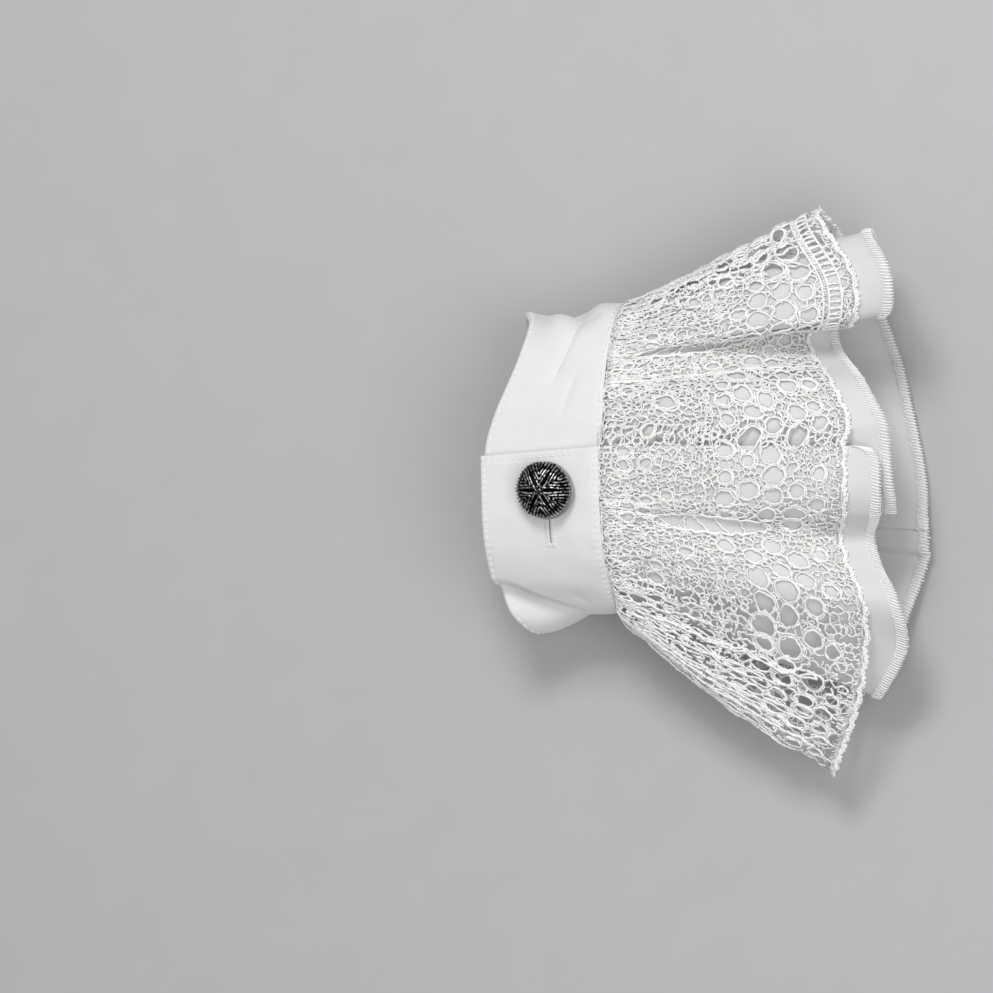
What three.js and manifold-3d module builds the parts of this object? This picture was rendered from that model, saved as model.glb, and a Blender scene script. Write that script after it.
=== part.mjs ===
// A lace cuff, lying on its side as it comes off the arm.
// A buttoned band of folded cotton carries one ruffle of plain cotton and, over it, one ruffle of coarse lace.
// Lengths are in millimetres. X runs along the arm from the sleeve side of the band to the ruffle's mouth,
// Y runs across and Z is up from the surface that the cuff lies on. The origin is the middle of the band's
// flat underside, and the functions count X from the band's sleeve edge.

import * as THREE from 'three';
import { mergeVertices } from 'three/addons/utils/BufferGeometryUtils.js';
import Module from 'manifold-3d';

const wasm = await Module();
wasm.setup();

// The band, flattened to an oval by its own weight
const bandLength = 37.5;          // along the arm
const bandWidth = 93;             // across, outside
const bandHeight = 46;            // above the surface, outside
const bandWall = 2.6;             // two folded layers of cotton with interlining
const bandOverlap = 25;           // how far the buttoned end laps over the other
const bandFlatDepth = 2;          // how much of the oval's underside is pressed flat
const bandSquareness = 2.25;      // 2 is an ellipse, more is squarer
const overlapEndAcross = 3.7;     // Y of the overlapping end
const overlapEndSlant = 3;        // how far its sleeve corner stands back
const mouthHold = 0.12;           // share of the length in which the ruffles' seam holds the band smooth
const layerGap = 0.3;             // air between two pieces of cloth

// The ruffles, each gathered into the mouth side of the band
const ruffleDepth = 90;           // plain cotton, from the seam to its hem
const laceDepth = 80;             // lace, from the seam to its edge
const clothWall = 1.0;            // plain cotton with its gathers
const laceWall = 1.0;             // lace threads lie two and three deep
const laceAir = 0.8;              // how far the lace stands off the cotton at its edge
const laceSpreadLow = 24;         // how far the lace stands out past the cotton on the lower side
const laceSpreadHigh = 7;         // the same on the upper side
const laceDrawLow = 4;            // how far the spread lace's edge is drawn back, lower and upper side
const laceDrawHigh = 7;

const archRise = 2.7;             // how high a ruffle arches between its seam and its hem
const gatherCount = 18;           // soft gathers round the seam
const gatherRise = 0.8;
const gatherFade = 0.55;          // the share of the depth over which they run out

// The button and its hole
const buttonDiameter = 17;
const buttonDomeHeight = 3.6;
const buttonRimHeight = 1.5;
const buttonBackDiameter = 17.4;
const buttonBackThickness = 1.0;
const shankDiameter = 2.4;
const shankLength = 1.6;          // thread between the overlap and the button's back
const buttonAlong = 21.6;         // X of the button and of its hole
const buttonFromEnd = 12.5;       // from the overlapping end to the shank, round the band
const buttonholeLength = 19;
const buttonholeWidth = 3.2;
const shankFromHoleEnd = 3;       // the shank pulls to the end of the hole nearer the overlapping end

// The button's cap from its underside to its top. out is a share of its radius, rim and dome are shares
// of the heights of its rim and of its dome.
const capProfile = [
  { name: 'underside centre', out: 0.00, rim: 0.00, dome: 0.00 },
  { name: 'underside edge',   out: 0.93, rim: 0.00, dome: 0.00 },
  { name: 'rim, widest',      out: 1.00, rim: 0.45, dome: 0.00 },
  { name: 'rim, top',         out: 0.97, rim: 1.00, dome: 0.00 },
  { name: 'dome, shoulder',   out: 0.84, rim: 1.00, dome: 0.42 },
  { name: 'dome, middle',     out: 0.62, rim: 1.00, dome: 0.74 },
  { name: 'dome, upper',      out: 0.34, rim: 1.00, dome: 0.94 },
  { name: 'dome, crown',      out: 0.12, rim: 1.00, dome: 1.00 },
  { name: 'top centre',       out: 0.00, rim: 1.00, dome: 1.00 },
];
const capLobes = 6;
const capLobeDepth = 0.5;         // grooves between the lobes, at the rim
const capLobeSqueeze = 0.34;      // how far the outline draws in between the lobes

// How finely each piece is divided
const bandColumns = 52;
const bandRows = 5;
const ruffleColumns = 72;
const clothRows = 5;
const buttonSides = 24;

// Where the band's sides buckle. along is a share of the loop from the overlapping end, across the band
// from its sleeve edge is a share of its length, slant is the turn of the crease in lengths per loop,
// depth and half width are shares of the band's height.
const bandFolds = [
  { name: 'upper side notch',   along: 0.830, across: 0.62, slant: -1.2, depth: -0.060, halfAlong: 0.115, halfAcross: 0.17 },
  { name: 'upper side hollow',  along: 0.780, across: 0.14, slant: -1.0, depth: -0.095, halfAlong: 0.095, halfAcross: 0.40 },
  { name: 'lower side crease',  along: 0.226, across: 0.36, slant: 7.5,  depth: -0.130, halfAlong: 0.040, halfAcross: 0.16 },
  { name: 'lower side roll',    along: 0.265, across: 0.02, slant: 4.0,  depth: 0.130,  halfAlong: 0.100, halfAcross: 0.55 },
];

// Where the sleeve edge of the band is drawn in towards the mouth, as shares of the loop and of the length.
const bandEdgeDraws = [
  { name: 'lower side', along: 0.285, half: 0.100, draw: 0.24 },
  { name: 'upper side', along: 0.825, half: 0.200, draw: 0.27 },
];

// The hem of the cotton ruffle, one row for each crest, valley and turn, in order from the overlapping end.
// along is the share of the loop where the cloth leaves the seam. side, rise and reach are shares of the
// ruffle's depth: how far the hem lies towards +Y and +Z of that place, and how much of the depth is taut.
const hemFolds = [
  { name: 'overlapping end',   along: 0.000, side: 0.000,  rise: -0.050, reach: 0.955 },
  { name: 'crest B, low',      along: 0.040, side: -0.030, rise: -0.045, reach: 0.960 },
  { name: 'slope B to C',      along: 0.066, side: -0.050, rise: -0.090, reach: 0.945 },
  { name: 'valley B to C',     along: 0.092, side: -0.065, rise: -0.190, reach: 0.905 },
  { name: 'rise to C',         along: 0.118, side: -0.105, rise: -0.140, reach: 0.940 },
  { name: 'crest C',           along: 0.152, side: -0.150, rise: -0.070, reach: 1.010 },
  { name: 'fall of C',         along: 0.192, side: -0.215, rise: -0.100, reach: 1.015 },
  { name: 'lower side fold',   along: 0.232, side: -0.310, rise: -0.130, reach: 0.930 },
  { name: 'lower side turn',   along: 0.262, side: -0.265, rise: -0.120, reach: 0.900 },
  { name: 'lower far cloth',   along: 0.300, side: -0.190, rise: -0.060, reach: 0.920 },
  { name: 'far cloth low',     along: 0.350, side: -0.150, rise: 0.000,  reach: 0.925 },
  { name: 'pleat, under',      along: 0.405, side: -0.070, rise: 0.000,  reach: 0.975 },
  { name: 'pleat, over',       along: 0.425, side: -0.055, rise: 0.035,  reach: 0.985 },
  { name: 'far cloth middle',  along: 0.500, side: 0.000,  rise: 0.008,  reach: 0.960 },
  { name: 'far cloth high',    along: 0.600, side: 0.030,  rise: 0.000,  reach: 0.900 },
  { name: 'upper side turn',   along: 0.690, side: 0.120,  rise: 0.000,  reach: 0.830 },
  { name: 'upper side rise',   along: 0.740, side: 0.200,  rise: 0.010,  reach: 0.880 },
  { name: 'upper side fold',   along: 0.775, side: 0.255,  rise: 0.060,  reach: 0.920 },
  { name: 'crest A, outer',    along: 0.810, side: 0.275,  rise: 0.080,  reach: 0.950 },
  { name: 'crest A',           along: 0.840, side: 0.205,  rise: 0.095,  reach: 1.020 },
  { name: 'lip of A',          along: 0.862, side: 0.120,  rise: 0.000,  reach: 0.975 },
  { name: 'valley A to B',     along: 0.882, side: 0.110,  rise: -0.180, reach: 0.790 },
  { name: 'rise to B',         along: 0.905, side: 0.080,  rise: -0.190, reach: 0.775 },
  { name: 'crest B, high',     along: 0.930, side: 0.035,  rise: -0.070, reach: 0.885 },
  { name: 'flat of B',         along: 0.970, side: 0.010,  rise: -0.048, reach: 0.965 },
  { name: 'lap begins',        along: 1.000, side: 0.000,  rise: -0.060, reach: 0.975 },
  { name: 'lap, middle',       along: 1.040, side: -0.025, rise: -0.060, reach: 0.985 },
  { name: 'lapped end',        along: 1.075, side: -0.040, rise: -0.150, reach: 0.975 },
];

// Where the lace leaves the cotton and spreads. along and half are shares of the loop, and ease says how
// soon it spreads: 1 is evenly with depth, less is sooner. drawBack pulls its edge towards the band.
const laceSpreads = [
  { name: 'lower side', along: 0.240, half: 0.085, out: laceSpreadLow, toY: -1, ease: 0.5, drawBack: laceDrawLow },
  { name: 'upper side', along: 0.785, half: 0.055, out: laceSpreadHigh, toY: 1, ease: 1, drawBack: laceDrawHigh },
];

// The net of the lace, in shares of its depth: a close-worked header, rows of open holes and a border.
const laceHeaderRows = [0, 0.17, 0.34, 0.50];
const laceHoleRows = [0.50, 0.65, 0.80, 0.93];
const laceHoleShare = 0.36;       // half width of a hole, as a share of its cell
const laceHoleCorners = [[-0.8, -0.7], [0, -1], [0.8, -0.7], [0.8, 0.7], [0, 1], [-0.8, 0.7]];

const smooth = (t) => t * t * (3 - 2 * t);
const clamp01 = (t) => Math.min(1, Math.max(0, t));
const bump = (distance, half) => (Math.abs(distance) >= half ? 0 : smooth(1 - Math.abs(distance) / half));

// The middle line of the band's wall in its oval section, measured round by its length
function measureSection() {
  const samples = 1440;
  const halfWidth = (bandWidth - bandWall) / 2;
  const halfHeight = (bandHeight + bandFlatDepth - bandWall) / 2;
  const centreZ = bandHeight - bandWall / 2 - halfHeight;
  const power = 2 / bandSquareness;
  const rounded = (value) => Math.sign(value) * Math.abs(value) ** power;
  const startTurn = -Math.asin((overlapEndAcross / halfWidth) ** (1 / power));
  const points = [];
  for (let i = 0; i <= samples; i += 1) {
    const turn = startTurn + (2 * Math.PI * i) / samples;
    const y = -halfWidth * rounded(Math.sin(turn));
    const z = centreZ + halfHeight * rounded(Math.cos(turn));
    points.push({ y, z: Math.max(z, bandWall / 2) });
  }
  const lengths = [0];
  for (let i = 1; i <= samples; i += 1) {
    const step = Math.hypot(points[i].y - points[i - 1].y, points[i].z - points[i - 1].z);
    lengths.push(lengths[i - 1] + step);
  }
  return { points, lengths, loop: lengths[samples] };
}

const section = measureSection();
const stripShare = 1 + bandOverlap / section.loop;

// A point of the oval at a share of the loop, with the direction that faces outwards
function sectionAt(share) {
  const wanted = (share - Math.floor(share)) * section.loop;
  let low = 0;
  let high = section.lengths.length - 1;
  while (high - low > 1) {
    const middle = (low + high) >> 1;
    if (section.lengths[middle] <= wanted) low = middle;
    else high = middle;
  }
  const span = section.lengths[high] - section.lengths[low] || 1;
  const part = (wanted - section.lengths[low]) / span;
  const a = section.points[low];
  const b = section.points[high];
  return { y: a.y + (b.y - a.y) * part, z: a.z + (b.z - a.z) * part };
}

function sectionNormal(share) {
  const step = 0.006;             // share of the loop, enough to round off the corners of the flat underside
  const before = sectionAt(share - step);
  const after = sectionAt(share + step);
  const length = Math.hypot(after.y - before.y, after.z - before.z);
  return { y: (after.z - before.z) / length, z: (before.y - after.y) / length };
}

// The overlapping end lies one wall and one gap above the lapped end, and comes down beyond it
const lapShare = bandOverlap / section.loop;
const lapLift = bandWall + layerGap;

function liftAt(share) {
  return lapLift * (1 - smooth(clamp01((share - lapShare) / lapShare)));
}

// A point of the band's strip, which is a loop and a lap long, at a distance outside its middle line
function stripAt(share, x, offset) {
  const base = sectionAt(share);
  const normal = sectionNormal(share);
  const out = offset + liftAt(share);
  return new THREE.Vector3(x, base.y + normal.y * out, base.z + normal.z * out);
}

function bandPoint(stripPart, across) {
  const squareShare = stripPart * stripShare;
  const slant = (overlapEndSlant / section.loop) * (1 - across);
  const share = squareShare + slant * clamp01(1 - squareShare / lapShare);
  let draw = 0;
  for (const edge of bandEdgeDraws) draw += edge.draw * bump(share - edge.along, edge.half);
  const x = bandLength * (draw + (1 - draw) * across);
  const heldAtMouth = smooth(clamp01((1 - across) / mouthHold));
  let push = 0;
  for (const fold of bandFolds) {
    const line = fold.across + fold.slant * (share - fold.along);
    push += fold.depth * bump(share - fold.along, fold.halfAlong) * bump(across - line, fold.halfAcross);
  }
  const point = stripAt(share, x, push * bandHeight * heldAtMouth);
  point.z = Math.max(point.z, bandWall / 2);
  return point;
}

// One value of the hem table at a place between its rows, along a smooth curve through them
function hemValue(place, key) {
  const last = hemFolds.length - 1;
  const row = Math.min(last - 1, Math.max(0, Math.floor(place)));
  const t = place - row;
  const read = (index) => hemFolds[Math.min(last, Math.max(0, index))][key];
  const [before, from, to, after] = [read(row - 1), read(row), read(row + 1), read(row + 2)];
  const slopeFrom = (to - before) / 2;
  const slopeTo = (after - from) / 2;
  const t2 = t * t;
  const t3 = t2 * t;
  return (2 * t3 - 3 * t2 + 1) * from + (t3 - 2 * t2 + t) * slopeFrom
    + (3 * t2 - 2 * t3) * to + (t3 - t2) * slopeTo;
}

const stackOffset = (clothWall + laceWall) / 2 + layerGap;      // from the cotton's middle to the lace's
const clothRest = laceWall + layerGap + clothWall / 2;          // the cotton's middle over lace on the floor
const seamAt = bandLength + layerGap + laceWall / 2;            // a ruffle's edge may lean towards the band

function clothEnds(place) {
  const along = hemValue(place, 'along');
  const side = hemValue(place, 'side');
  const rise = hemValue(place, 'rise');
  const reach = hemValue(place, 'reach');
  const root = stripAt(along, seamAt, -stackOffset / 2);
  const forward = Math.sqrt(reach * reach - side * side - rise * rise);
  const taut = new THREE.Vector3(forward, side, rise).multiplyScalar(ruffleDepth);
  return { along, root, hem: taut.add(root) };
}

// Places in the hem table that stand evenly along the hem
function measureHem() {
  const samples = 1600;
  const places = [];
  const lengths = [0];
  let before = null;
  for (let i = 0; i <= samples; i += 1) {
    const place = ((hemFolds.length - 1) * i) / samples;
    const { hem } = clothEnds(place);
    if (before) lengths.push(lengths[i - 1] + before.distanceTo(hem));
    places.push(place);
    before = hem;
  }
  return { places, lengths, length: lengths[samples] };
}

const hemLine = measureHem();

function hemPlace(share) {
  const wanted = clamp01(share) * hemLine.length;
  let low = 0;
  let high = hemLine.lengths.length - 1;
  while (high - low > 1) {
    const middle = (low + high) >> 1;
    if (hemLine.lengths[middle] <= wanted) low = middle;
    else high = middle;
  }
  const span = hemLine.lengths[high] - hemLine.lengths[low] || 1;
  const part = (wanted - hemLine.lengths[low]) / span;
  return hemLine.places[low] + (hemLine.places[high] - hemLine.places[low]) * part;
}

// The middle of the cotton ruffle, at a share of its hem and a share of its depth
function clothPoint(share, depth) {
  const { along, root, hem } = clothEnds(hemPlace(share));
  const point = root.clone().lerp(hem, depth);
  const out = sectionNormal(along);
  const clearOfLap = smooth(clamp01((along - lapShare) / lapShare)) * smooth(clamp01((1 - along) / lapShare));
  const fade = Math.sin(Math.PI * clamp01(depth / gatherFade)) * clearOfLap;
  const gather = gatherRise * fade * Math.cos(2 * Math.PI * gatherCount * share);
  point.y += gather * out.y;
  point.z += gather * out.z + archRise * Math.sin(Math.PI * depth) * Math.max(0, out.z);
  point.z = Math.max(point.z, clothRest + laceAir * depth);
  return point;
}

// The outward direction of a surface, from its neighbouring points
function surfaceNormal(surface, share, depth) {
  const stepShare = 0.003;
  const stepDepth = 0.02;
  const alongA = surface(Math.max(0, share - stepShare), depth);
  const alongB = surface(Math.min(1, share + stepShare), depth);
  const downA = surface(share, Math.max(0, depth - stepDepth));
  const downB = surface(share, Math.min(1, depth + stepDepth));
  const normal = alongB.sub(alongA).cross(downB.sub(downA));
  return normal.normalize();
}

// The middle of the lace ruffle, which lies over the cotton and spreads beyond it at the two sides
function lacePoint(share, depth) {
  const clothDepth = (depth * laceDepth) / ruffleDepth;
  const normal = surfaceNormal(clothPoint, share, clothDepth);
  const point = clothPoint(share, clothDepth).addScaledVector(normal, stackOffset + laceAir * clothDepth);
  const along = hemValue(hemPlace(share), 'along');
  for (const spread of laceSpreads) {
    const part = bump(along - spread.along, spread.half);
    point.y += spread.toY * spread.out * depth ** spread.ease * part;
    point.x -= spread.drawBack * depth * part;
  }
  point.x = Math.max(point.x, seamAt);
  point.z = Math.max(point.z, laceWall / 2);
  return point;
}

// A closed body from a sheet's points: both faces, and a wall along every free edge, round holes too
function thicken(points, normals, triangles, wall) {
  const count = points.length;
  const positions = [];
  for (const side of [wall / 2, -wall / 2]) {
    points.forEach((point, i) => {
      const shifted = point.clone().addScaledVector(normals[i], side);
      positions.push(shifted.x, shifted.y, Math.max(shifted.z, 0));
    });
  }
  const indices = [];
  const edges = new Set();
  for (const [a, b, c] of triangles) {
    indices.push(a, b, c, c + count, b + count, a + count);
    for (const [from, to] of [[a, b], [b, c], [c, a]]) edges.add(from * count + to);
  }
  for (const edge of edges) {
    const from = Math.floor(edge / count);
    const to = edge % count;
    if (!edges.has(to * count + from)) {
      indices.push(to, from, from + count, to, from + count, to + count);
    }
  }
  const geometry = new THREE.BufferGeometry();
  geometry.setAttribute('position', new THREE.Float32BufferAttribute(positions, 3));
  geometry.setIndex(indices);
  return geometry;
}

// A sheet being drawn: points are looked up by their share and depth, so neighbours share them
function startSheet(surface) {
  const points = [];
  const normals = [];
  const triangles = [];
  const known = new Map();
  const add = (share, depth) => {
    const key = `${share.toFixed(6)} ${depth.toFixed(6)}`;
    if (!known.has(key)) {
      known.set(key, points.length);
      points.push(surface(share, depth));
      normals.push(surfaceNormal(surface, share, depth));
    }
    return known.get(key);
  };
  const quad = (share0, share1, depth0, depth1) => {
    const [a, b] = [add(share0, depth0), add(share1, depth0)];
    const [c, d] = [add(share1, depth1), add(share0, depth1)];
    triangles.push([a, b, c], [a, c, d]);
  };
  return { points, normals, triangles, add, quad };
}

function plainSheet(surface, columns, rows, wall) {
  const sheet = startSheet(surface);
  for (let i = 0; i < columns; i += 1) {
    for (let j = 0; j < rows; j += 1) {
      sheet.quad(i / columns, (i + 1) / columns, j / rows, (j + 1) / rows);
    }
  }
  return thicken(sheet.points, sheet.normals, sheet.triangles, wall);
}

// One cell of the net, two columns wide: six corners outside and a six-sided hole
function netCell(sheet, share0, share1, depth0, depth1) {
  const middleShare = (share0 + share1) / 2;
  const middleDepth = (depth0 + depth1) / 2;
  const outside = [
    [share0, depth0], [middleShare, depth0], [share1, depth0],
    [share1, depth1], [middleShare, depth1], [share0, depth1],
  ].map(([share, depth]) => sheet.add(share, depth));
  const halfShare = (share1 - share0) * laceHoleShare;
  const halfDepth = (depth1 - depth0) * laceHoleShare;
  const inside = laceHoleCorners
    .map(([u, v]) => sheet.add(middleShare + u * halfShare, middleDepth + v * halfDepth));
  for (let i = 0; i < outside.length; i += 1) {
    const next = (i + 1) % outside.length;
    sheet.triangles.push([outside[i], outside[next], inside[next]], [outside[i], inside[next], inside[i]]);
  }
}

function laceSheet() {
  const sheet = startSheet(lacePoint);
  const column = (i) => i / ruffleColumns;
  const solidRow = (from, to, depth0, depth1) => {
    for (let i = from; i < to; i += 1) sheet.quad(column(i), column(i + 1), depth0, depth1);
  };
  for (let j = 0; j + 1 < laceHeaderRows.length; j += 1) {
    solidRow(0, ruffleColumns, laceHeaderRows[j], laceHeaderRows[j + 1]);
  }
  for (let j = 0; j + 1 < laceHoleRows.length; j += 1) {
    const [depth0, depth1] = [laceHoleRows[j], laceHoleRows[j + 1]];
    const shift = j % 2;
    solidRow(0, shift, depth0, depth1);
    let i = shift;
    for (; i + 2 <= ruffleColumns; i += 2) netCell(sheet, column(i), column(i + 2), depth0, depth1);
    solidRow(i, ruffleColumns, depth0, depth1);
  }
  solidRow(0, ruffleColumns, laceHoleRows[laceHoleRows.length - 1], 1);
  return thicken(sheet.points, sheet.normals, sheet.triangles, laceWall);
}

// The place on the overlapping end where the button sits, with its axis out of the cloth
function buttonFrame() {
  const share = buttonFromEnd / section.loop;
  const seat = stripAt(share, buttonAlong, bandWall / 2);
  const normal = sectionNormal(share);
  const axis = new THREE.Vector3(0, normal.y, normal.z);
  const turn = new THREE.Quaternion().setFromUnitVectors(new THREE.Vector3(0, 1, 0), axis);
  return { seat, turn };
}

function toManifold(geometry) {
  const bare = geometry.clone();
  bare.deleteAttribute('normal');
  bare.deleteAttribute('uv');
  const merged = mergeVertices(bare, 1e-4);
  return new wasm.Manifold(new wasm.Mesh({
    numProp: 3,
    vertProperties: new Float32Array(merged.attributes.position.array),
    triVerts: new Uint32Array(merged.index.array),
  }));
}

function fromManifold(solid) {
  const mesh = solid.getMesh();
  const geometry = new THREE.BufferGeometry();
  geometry.setAttribute('position', new THREE.BufferAttribute(mesh.vertProperties, 3));
  geometry.setIndex(new THREE.BufferAttribute(mesh.triVerts, 1));
  return geometry;
}

// The slit that the buttonhole cuts through the overlapping end, bent as the cloth is
function buttonholeCutter() {
  const start = (buttonFromEnd - shankFromHoleEnd) / section.loop;
  const end = start + buttonholeLength / section.loop;
  const inward = (bandWall + layerGap) / 2;
  const outward = bandWall;
  const surface = (part, across) => stripAt(
    start + (end - start) * part,
    buttonAlong + buttonholeWidth * (across - 0.5),
    (outward - inward) / 2,
  );
  return plainSheet(surface, 8, 1, inward + outward);
}

function cuffBand() {
  const band = toManifold(plainSheet(bandPoint, bandColumns, bandRows, bandWall));
  return fromManifold(band.subtract(toManifold(buttonholeCutter())));
}

// A six-lobed dome over a low rim, round its own Y axis
function buttonCap() {
  const radius = buttonDiameter / 2;
  const profile = capProfile.map(({ out, rim, dome }) => (
    new THREE.Vector2(out * radius, rim * buttonRimHeight + dome * buttonDomeHeight)
  ));
  const cap = new THREE.LatheGeometry(profile, buttonSides);
  const place = cap.attributes.position;
  for (let i = 0; i < place.count; i += 1) {
    const [x, y, z] = [place.getX(i), place.getY(i), place.getZ(i)];
    const groove = (1 - Math.cos(capLobes * Math.atan2(z, x))) / 2;
    const edge = Math.min(1, Math.hypot(x, z) / radius);
    const squeeze = 1 - (capLobeSqueeze / radius) * groove * edge;
    const sink = y > buttonRimHeight ? capLobeDepth * groove * edge : 0;
    place.setXYZ(i, x * squeeze, y - sink, z * squeeze);
  }
  return cap;
}

const colours = {
  cotton: 0xe9e9e9,
  lace: 0xefefef,
  metal: 0x26262a,
  horn: 0xb9b9b6,
  thread: 0xe4e4e4,
};

function makePiece(name, geometry, colour, roughness, metalness = 0) {
  const material = new THREE.MeshStandardMaterial({ color: colour, roughness, metalness });
  const piece = new THREE.Mesh(geometry, material);
  piece.name = name;
  return piece;
}

function buttonGroup() {
  const { seat, turn } = buttonFrame();
  const group = new THREE.Group();
  group.position.copy(seat);
  group.quaternion.copy(turn);

  const shankStart = layerGap - lapLift;
  const shankHeight = shankLength - layerGap - shankStart;
  const shank = makePiece(
    'button_shank', new THREE.CylinderGeometry(shankDiameter / 2, shankDiameter / 2, shankHeight, 10),
    colours.thread, 0.9,
  );
  shank.position.y = shankStart + shankHeight / 2;

  const backRadius = buttonBackDiameter / 2;
  const back = makePiece(
    'button_back', new THREE.CylinderGeometry(backRadius * 0.97, backRadius, buttonBackThickness, buttonSides),
    colours.horn, 0.4,
  );
  back.position.y = shankLength + buttonBackThickness / 2;

  const cap = makePiece('button_cap', buttonCap(), colours.metal, 0.35, 0.9);
  cap.position.y = shankLength + buttonBackThickness + layerGap;

  group.add(shank, back, cap);
  return group;
}

const cuff = new THREE.Group();
cuff.name = 'lace_cuff';
cuff.position.x = -bandLength / 2;
cuff.add(
  makePiece('cuff_band', cuffBand(), colours.cotton, 0.85),
  makePiece('ruffle_cotton', plainSheet(clothPoint, ruffleColumns, clothRows, clothWall), colours.cotton, 0.9),
  makePiece('ruffle_lace', laceSheet(), colours.lace, 0.9),
  buttonGroup(),
);

export default cuff;
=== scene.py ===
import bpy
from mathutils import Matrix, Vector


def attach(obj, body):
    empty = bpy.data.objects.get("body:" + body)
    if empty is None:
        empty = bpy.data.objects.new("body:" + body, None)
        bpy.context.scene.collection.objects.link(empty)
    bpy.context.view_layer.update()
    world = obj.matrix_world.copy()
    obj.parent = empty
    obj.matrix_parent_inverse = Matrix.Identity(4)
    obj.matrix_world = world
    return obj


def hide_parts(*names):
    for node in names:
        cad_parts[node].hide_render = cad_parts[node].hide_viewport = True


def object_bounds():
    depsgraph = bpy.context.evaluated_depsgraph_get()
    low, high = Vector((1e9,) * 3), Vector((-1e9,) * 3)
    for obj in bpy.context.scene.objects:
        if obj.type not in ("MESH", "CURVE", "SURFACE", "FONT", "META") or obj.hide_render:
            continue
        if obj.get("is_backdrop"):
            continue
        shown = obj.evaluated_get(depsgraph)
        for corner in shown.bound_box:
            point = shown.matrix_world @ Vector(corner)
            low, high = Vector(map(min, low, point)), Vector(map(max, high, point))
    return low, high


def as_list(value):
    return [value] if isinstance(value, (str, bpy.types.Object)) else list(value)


bl_info = {
    "name": "Lace Cuff",
    "version": (1, 0, 0),
    "blender": (4, 5, 0),
    "location": "3D View > Sidebar > Lace Cuff",
    "description": "Dresses a buttoned cotton cuff with its cotton ruffle and its lace ruffle",
    "category": "Add Mesh",
}

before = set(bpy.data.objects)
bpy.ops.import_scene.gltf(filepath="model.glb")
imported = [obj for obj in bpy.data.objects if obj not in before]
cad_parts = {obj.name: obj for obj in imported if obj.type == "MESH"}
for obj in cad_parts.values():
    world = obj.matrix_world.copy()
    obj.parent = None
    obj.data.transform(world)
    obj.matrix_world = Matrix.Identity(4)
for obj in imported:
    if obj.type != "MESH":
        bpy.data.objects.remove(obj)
cad_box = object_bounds()

import math

import bpy
import numpy as np
from bpy.props import FloatProperty, FloatVectorProperty, IntProperty, PointerProperty
from mathutils import Matrix, Vector
from mathutils.geometry import delaunay_2d_cdt

MM = 0.001
TURN = 2 * math.pi

# Where the band's sides buckle: the name, the share of the loop from the overlapping end, the share of the
# length from the back edge, which is the one away from the mouth, the slant in lengths per loop, the depth
# as a share of the band's height, and the half widths along the loop, to the mouth and to the back edge
BAND_FOLDS = [
    ("upper side notch", 0.772, 0.505, 2.0, -0.120, 0.080, 0.28, 0.30),
    ("upper side hollow", 0.780, 0.14, -1.0, -0.090, 0.095, 0.36, 0.40),
    ("lower side crease", 0.219, 0.40, 7.5, -0.260, 0.042, 0.06, 0.50),
    ("lower side roll", 0.265, 0.02, 4.0, 0.130, 0.100, 0.55, 0.55),
]

# Where the back edge of the band is drawn in towards the mouth, as shares of the loop and of the length
BAND_EDGE_DRAWS = [
    {"name": "lower side", "along": 0.285, "half": 0.100, "draw": 0.24},
    {"name": "upper side", "along": 0.850, "half": 0.170, "draw": 0.27},
]

# Sharp creases pressed into the band's cloth, from one point to another: the name, along and across of both
# points, as shares as above, then depth and half width in millimetres
BAND_CREASES = [
    ("from the notch", (0.800, 0.880), (0.62, 0.54), 1.1, 1.2),
    ("its end", (0.868, 0.925), (0.56, 0.44), 0.6, 1.2),
    ("beside it", (0.885, 0.975), (0.72, 0.60), 0.5, 1.4),
    ("towards the mouth", (0.812, 0.806), (0.62, 0.88), 0.6, 1.2),
    ("lower side", (0.200, 0.244), (0.15, 0.50), 0.7, 1.3),
    ("lower, soft", (0.195, 0.232), (0.60, 0.80), 0.5, 3.0),
    ("by the button", (0.110, 0.150), (0.80, 0.95), 0.25, 2.2),
]

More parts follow.
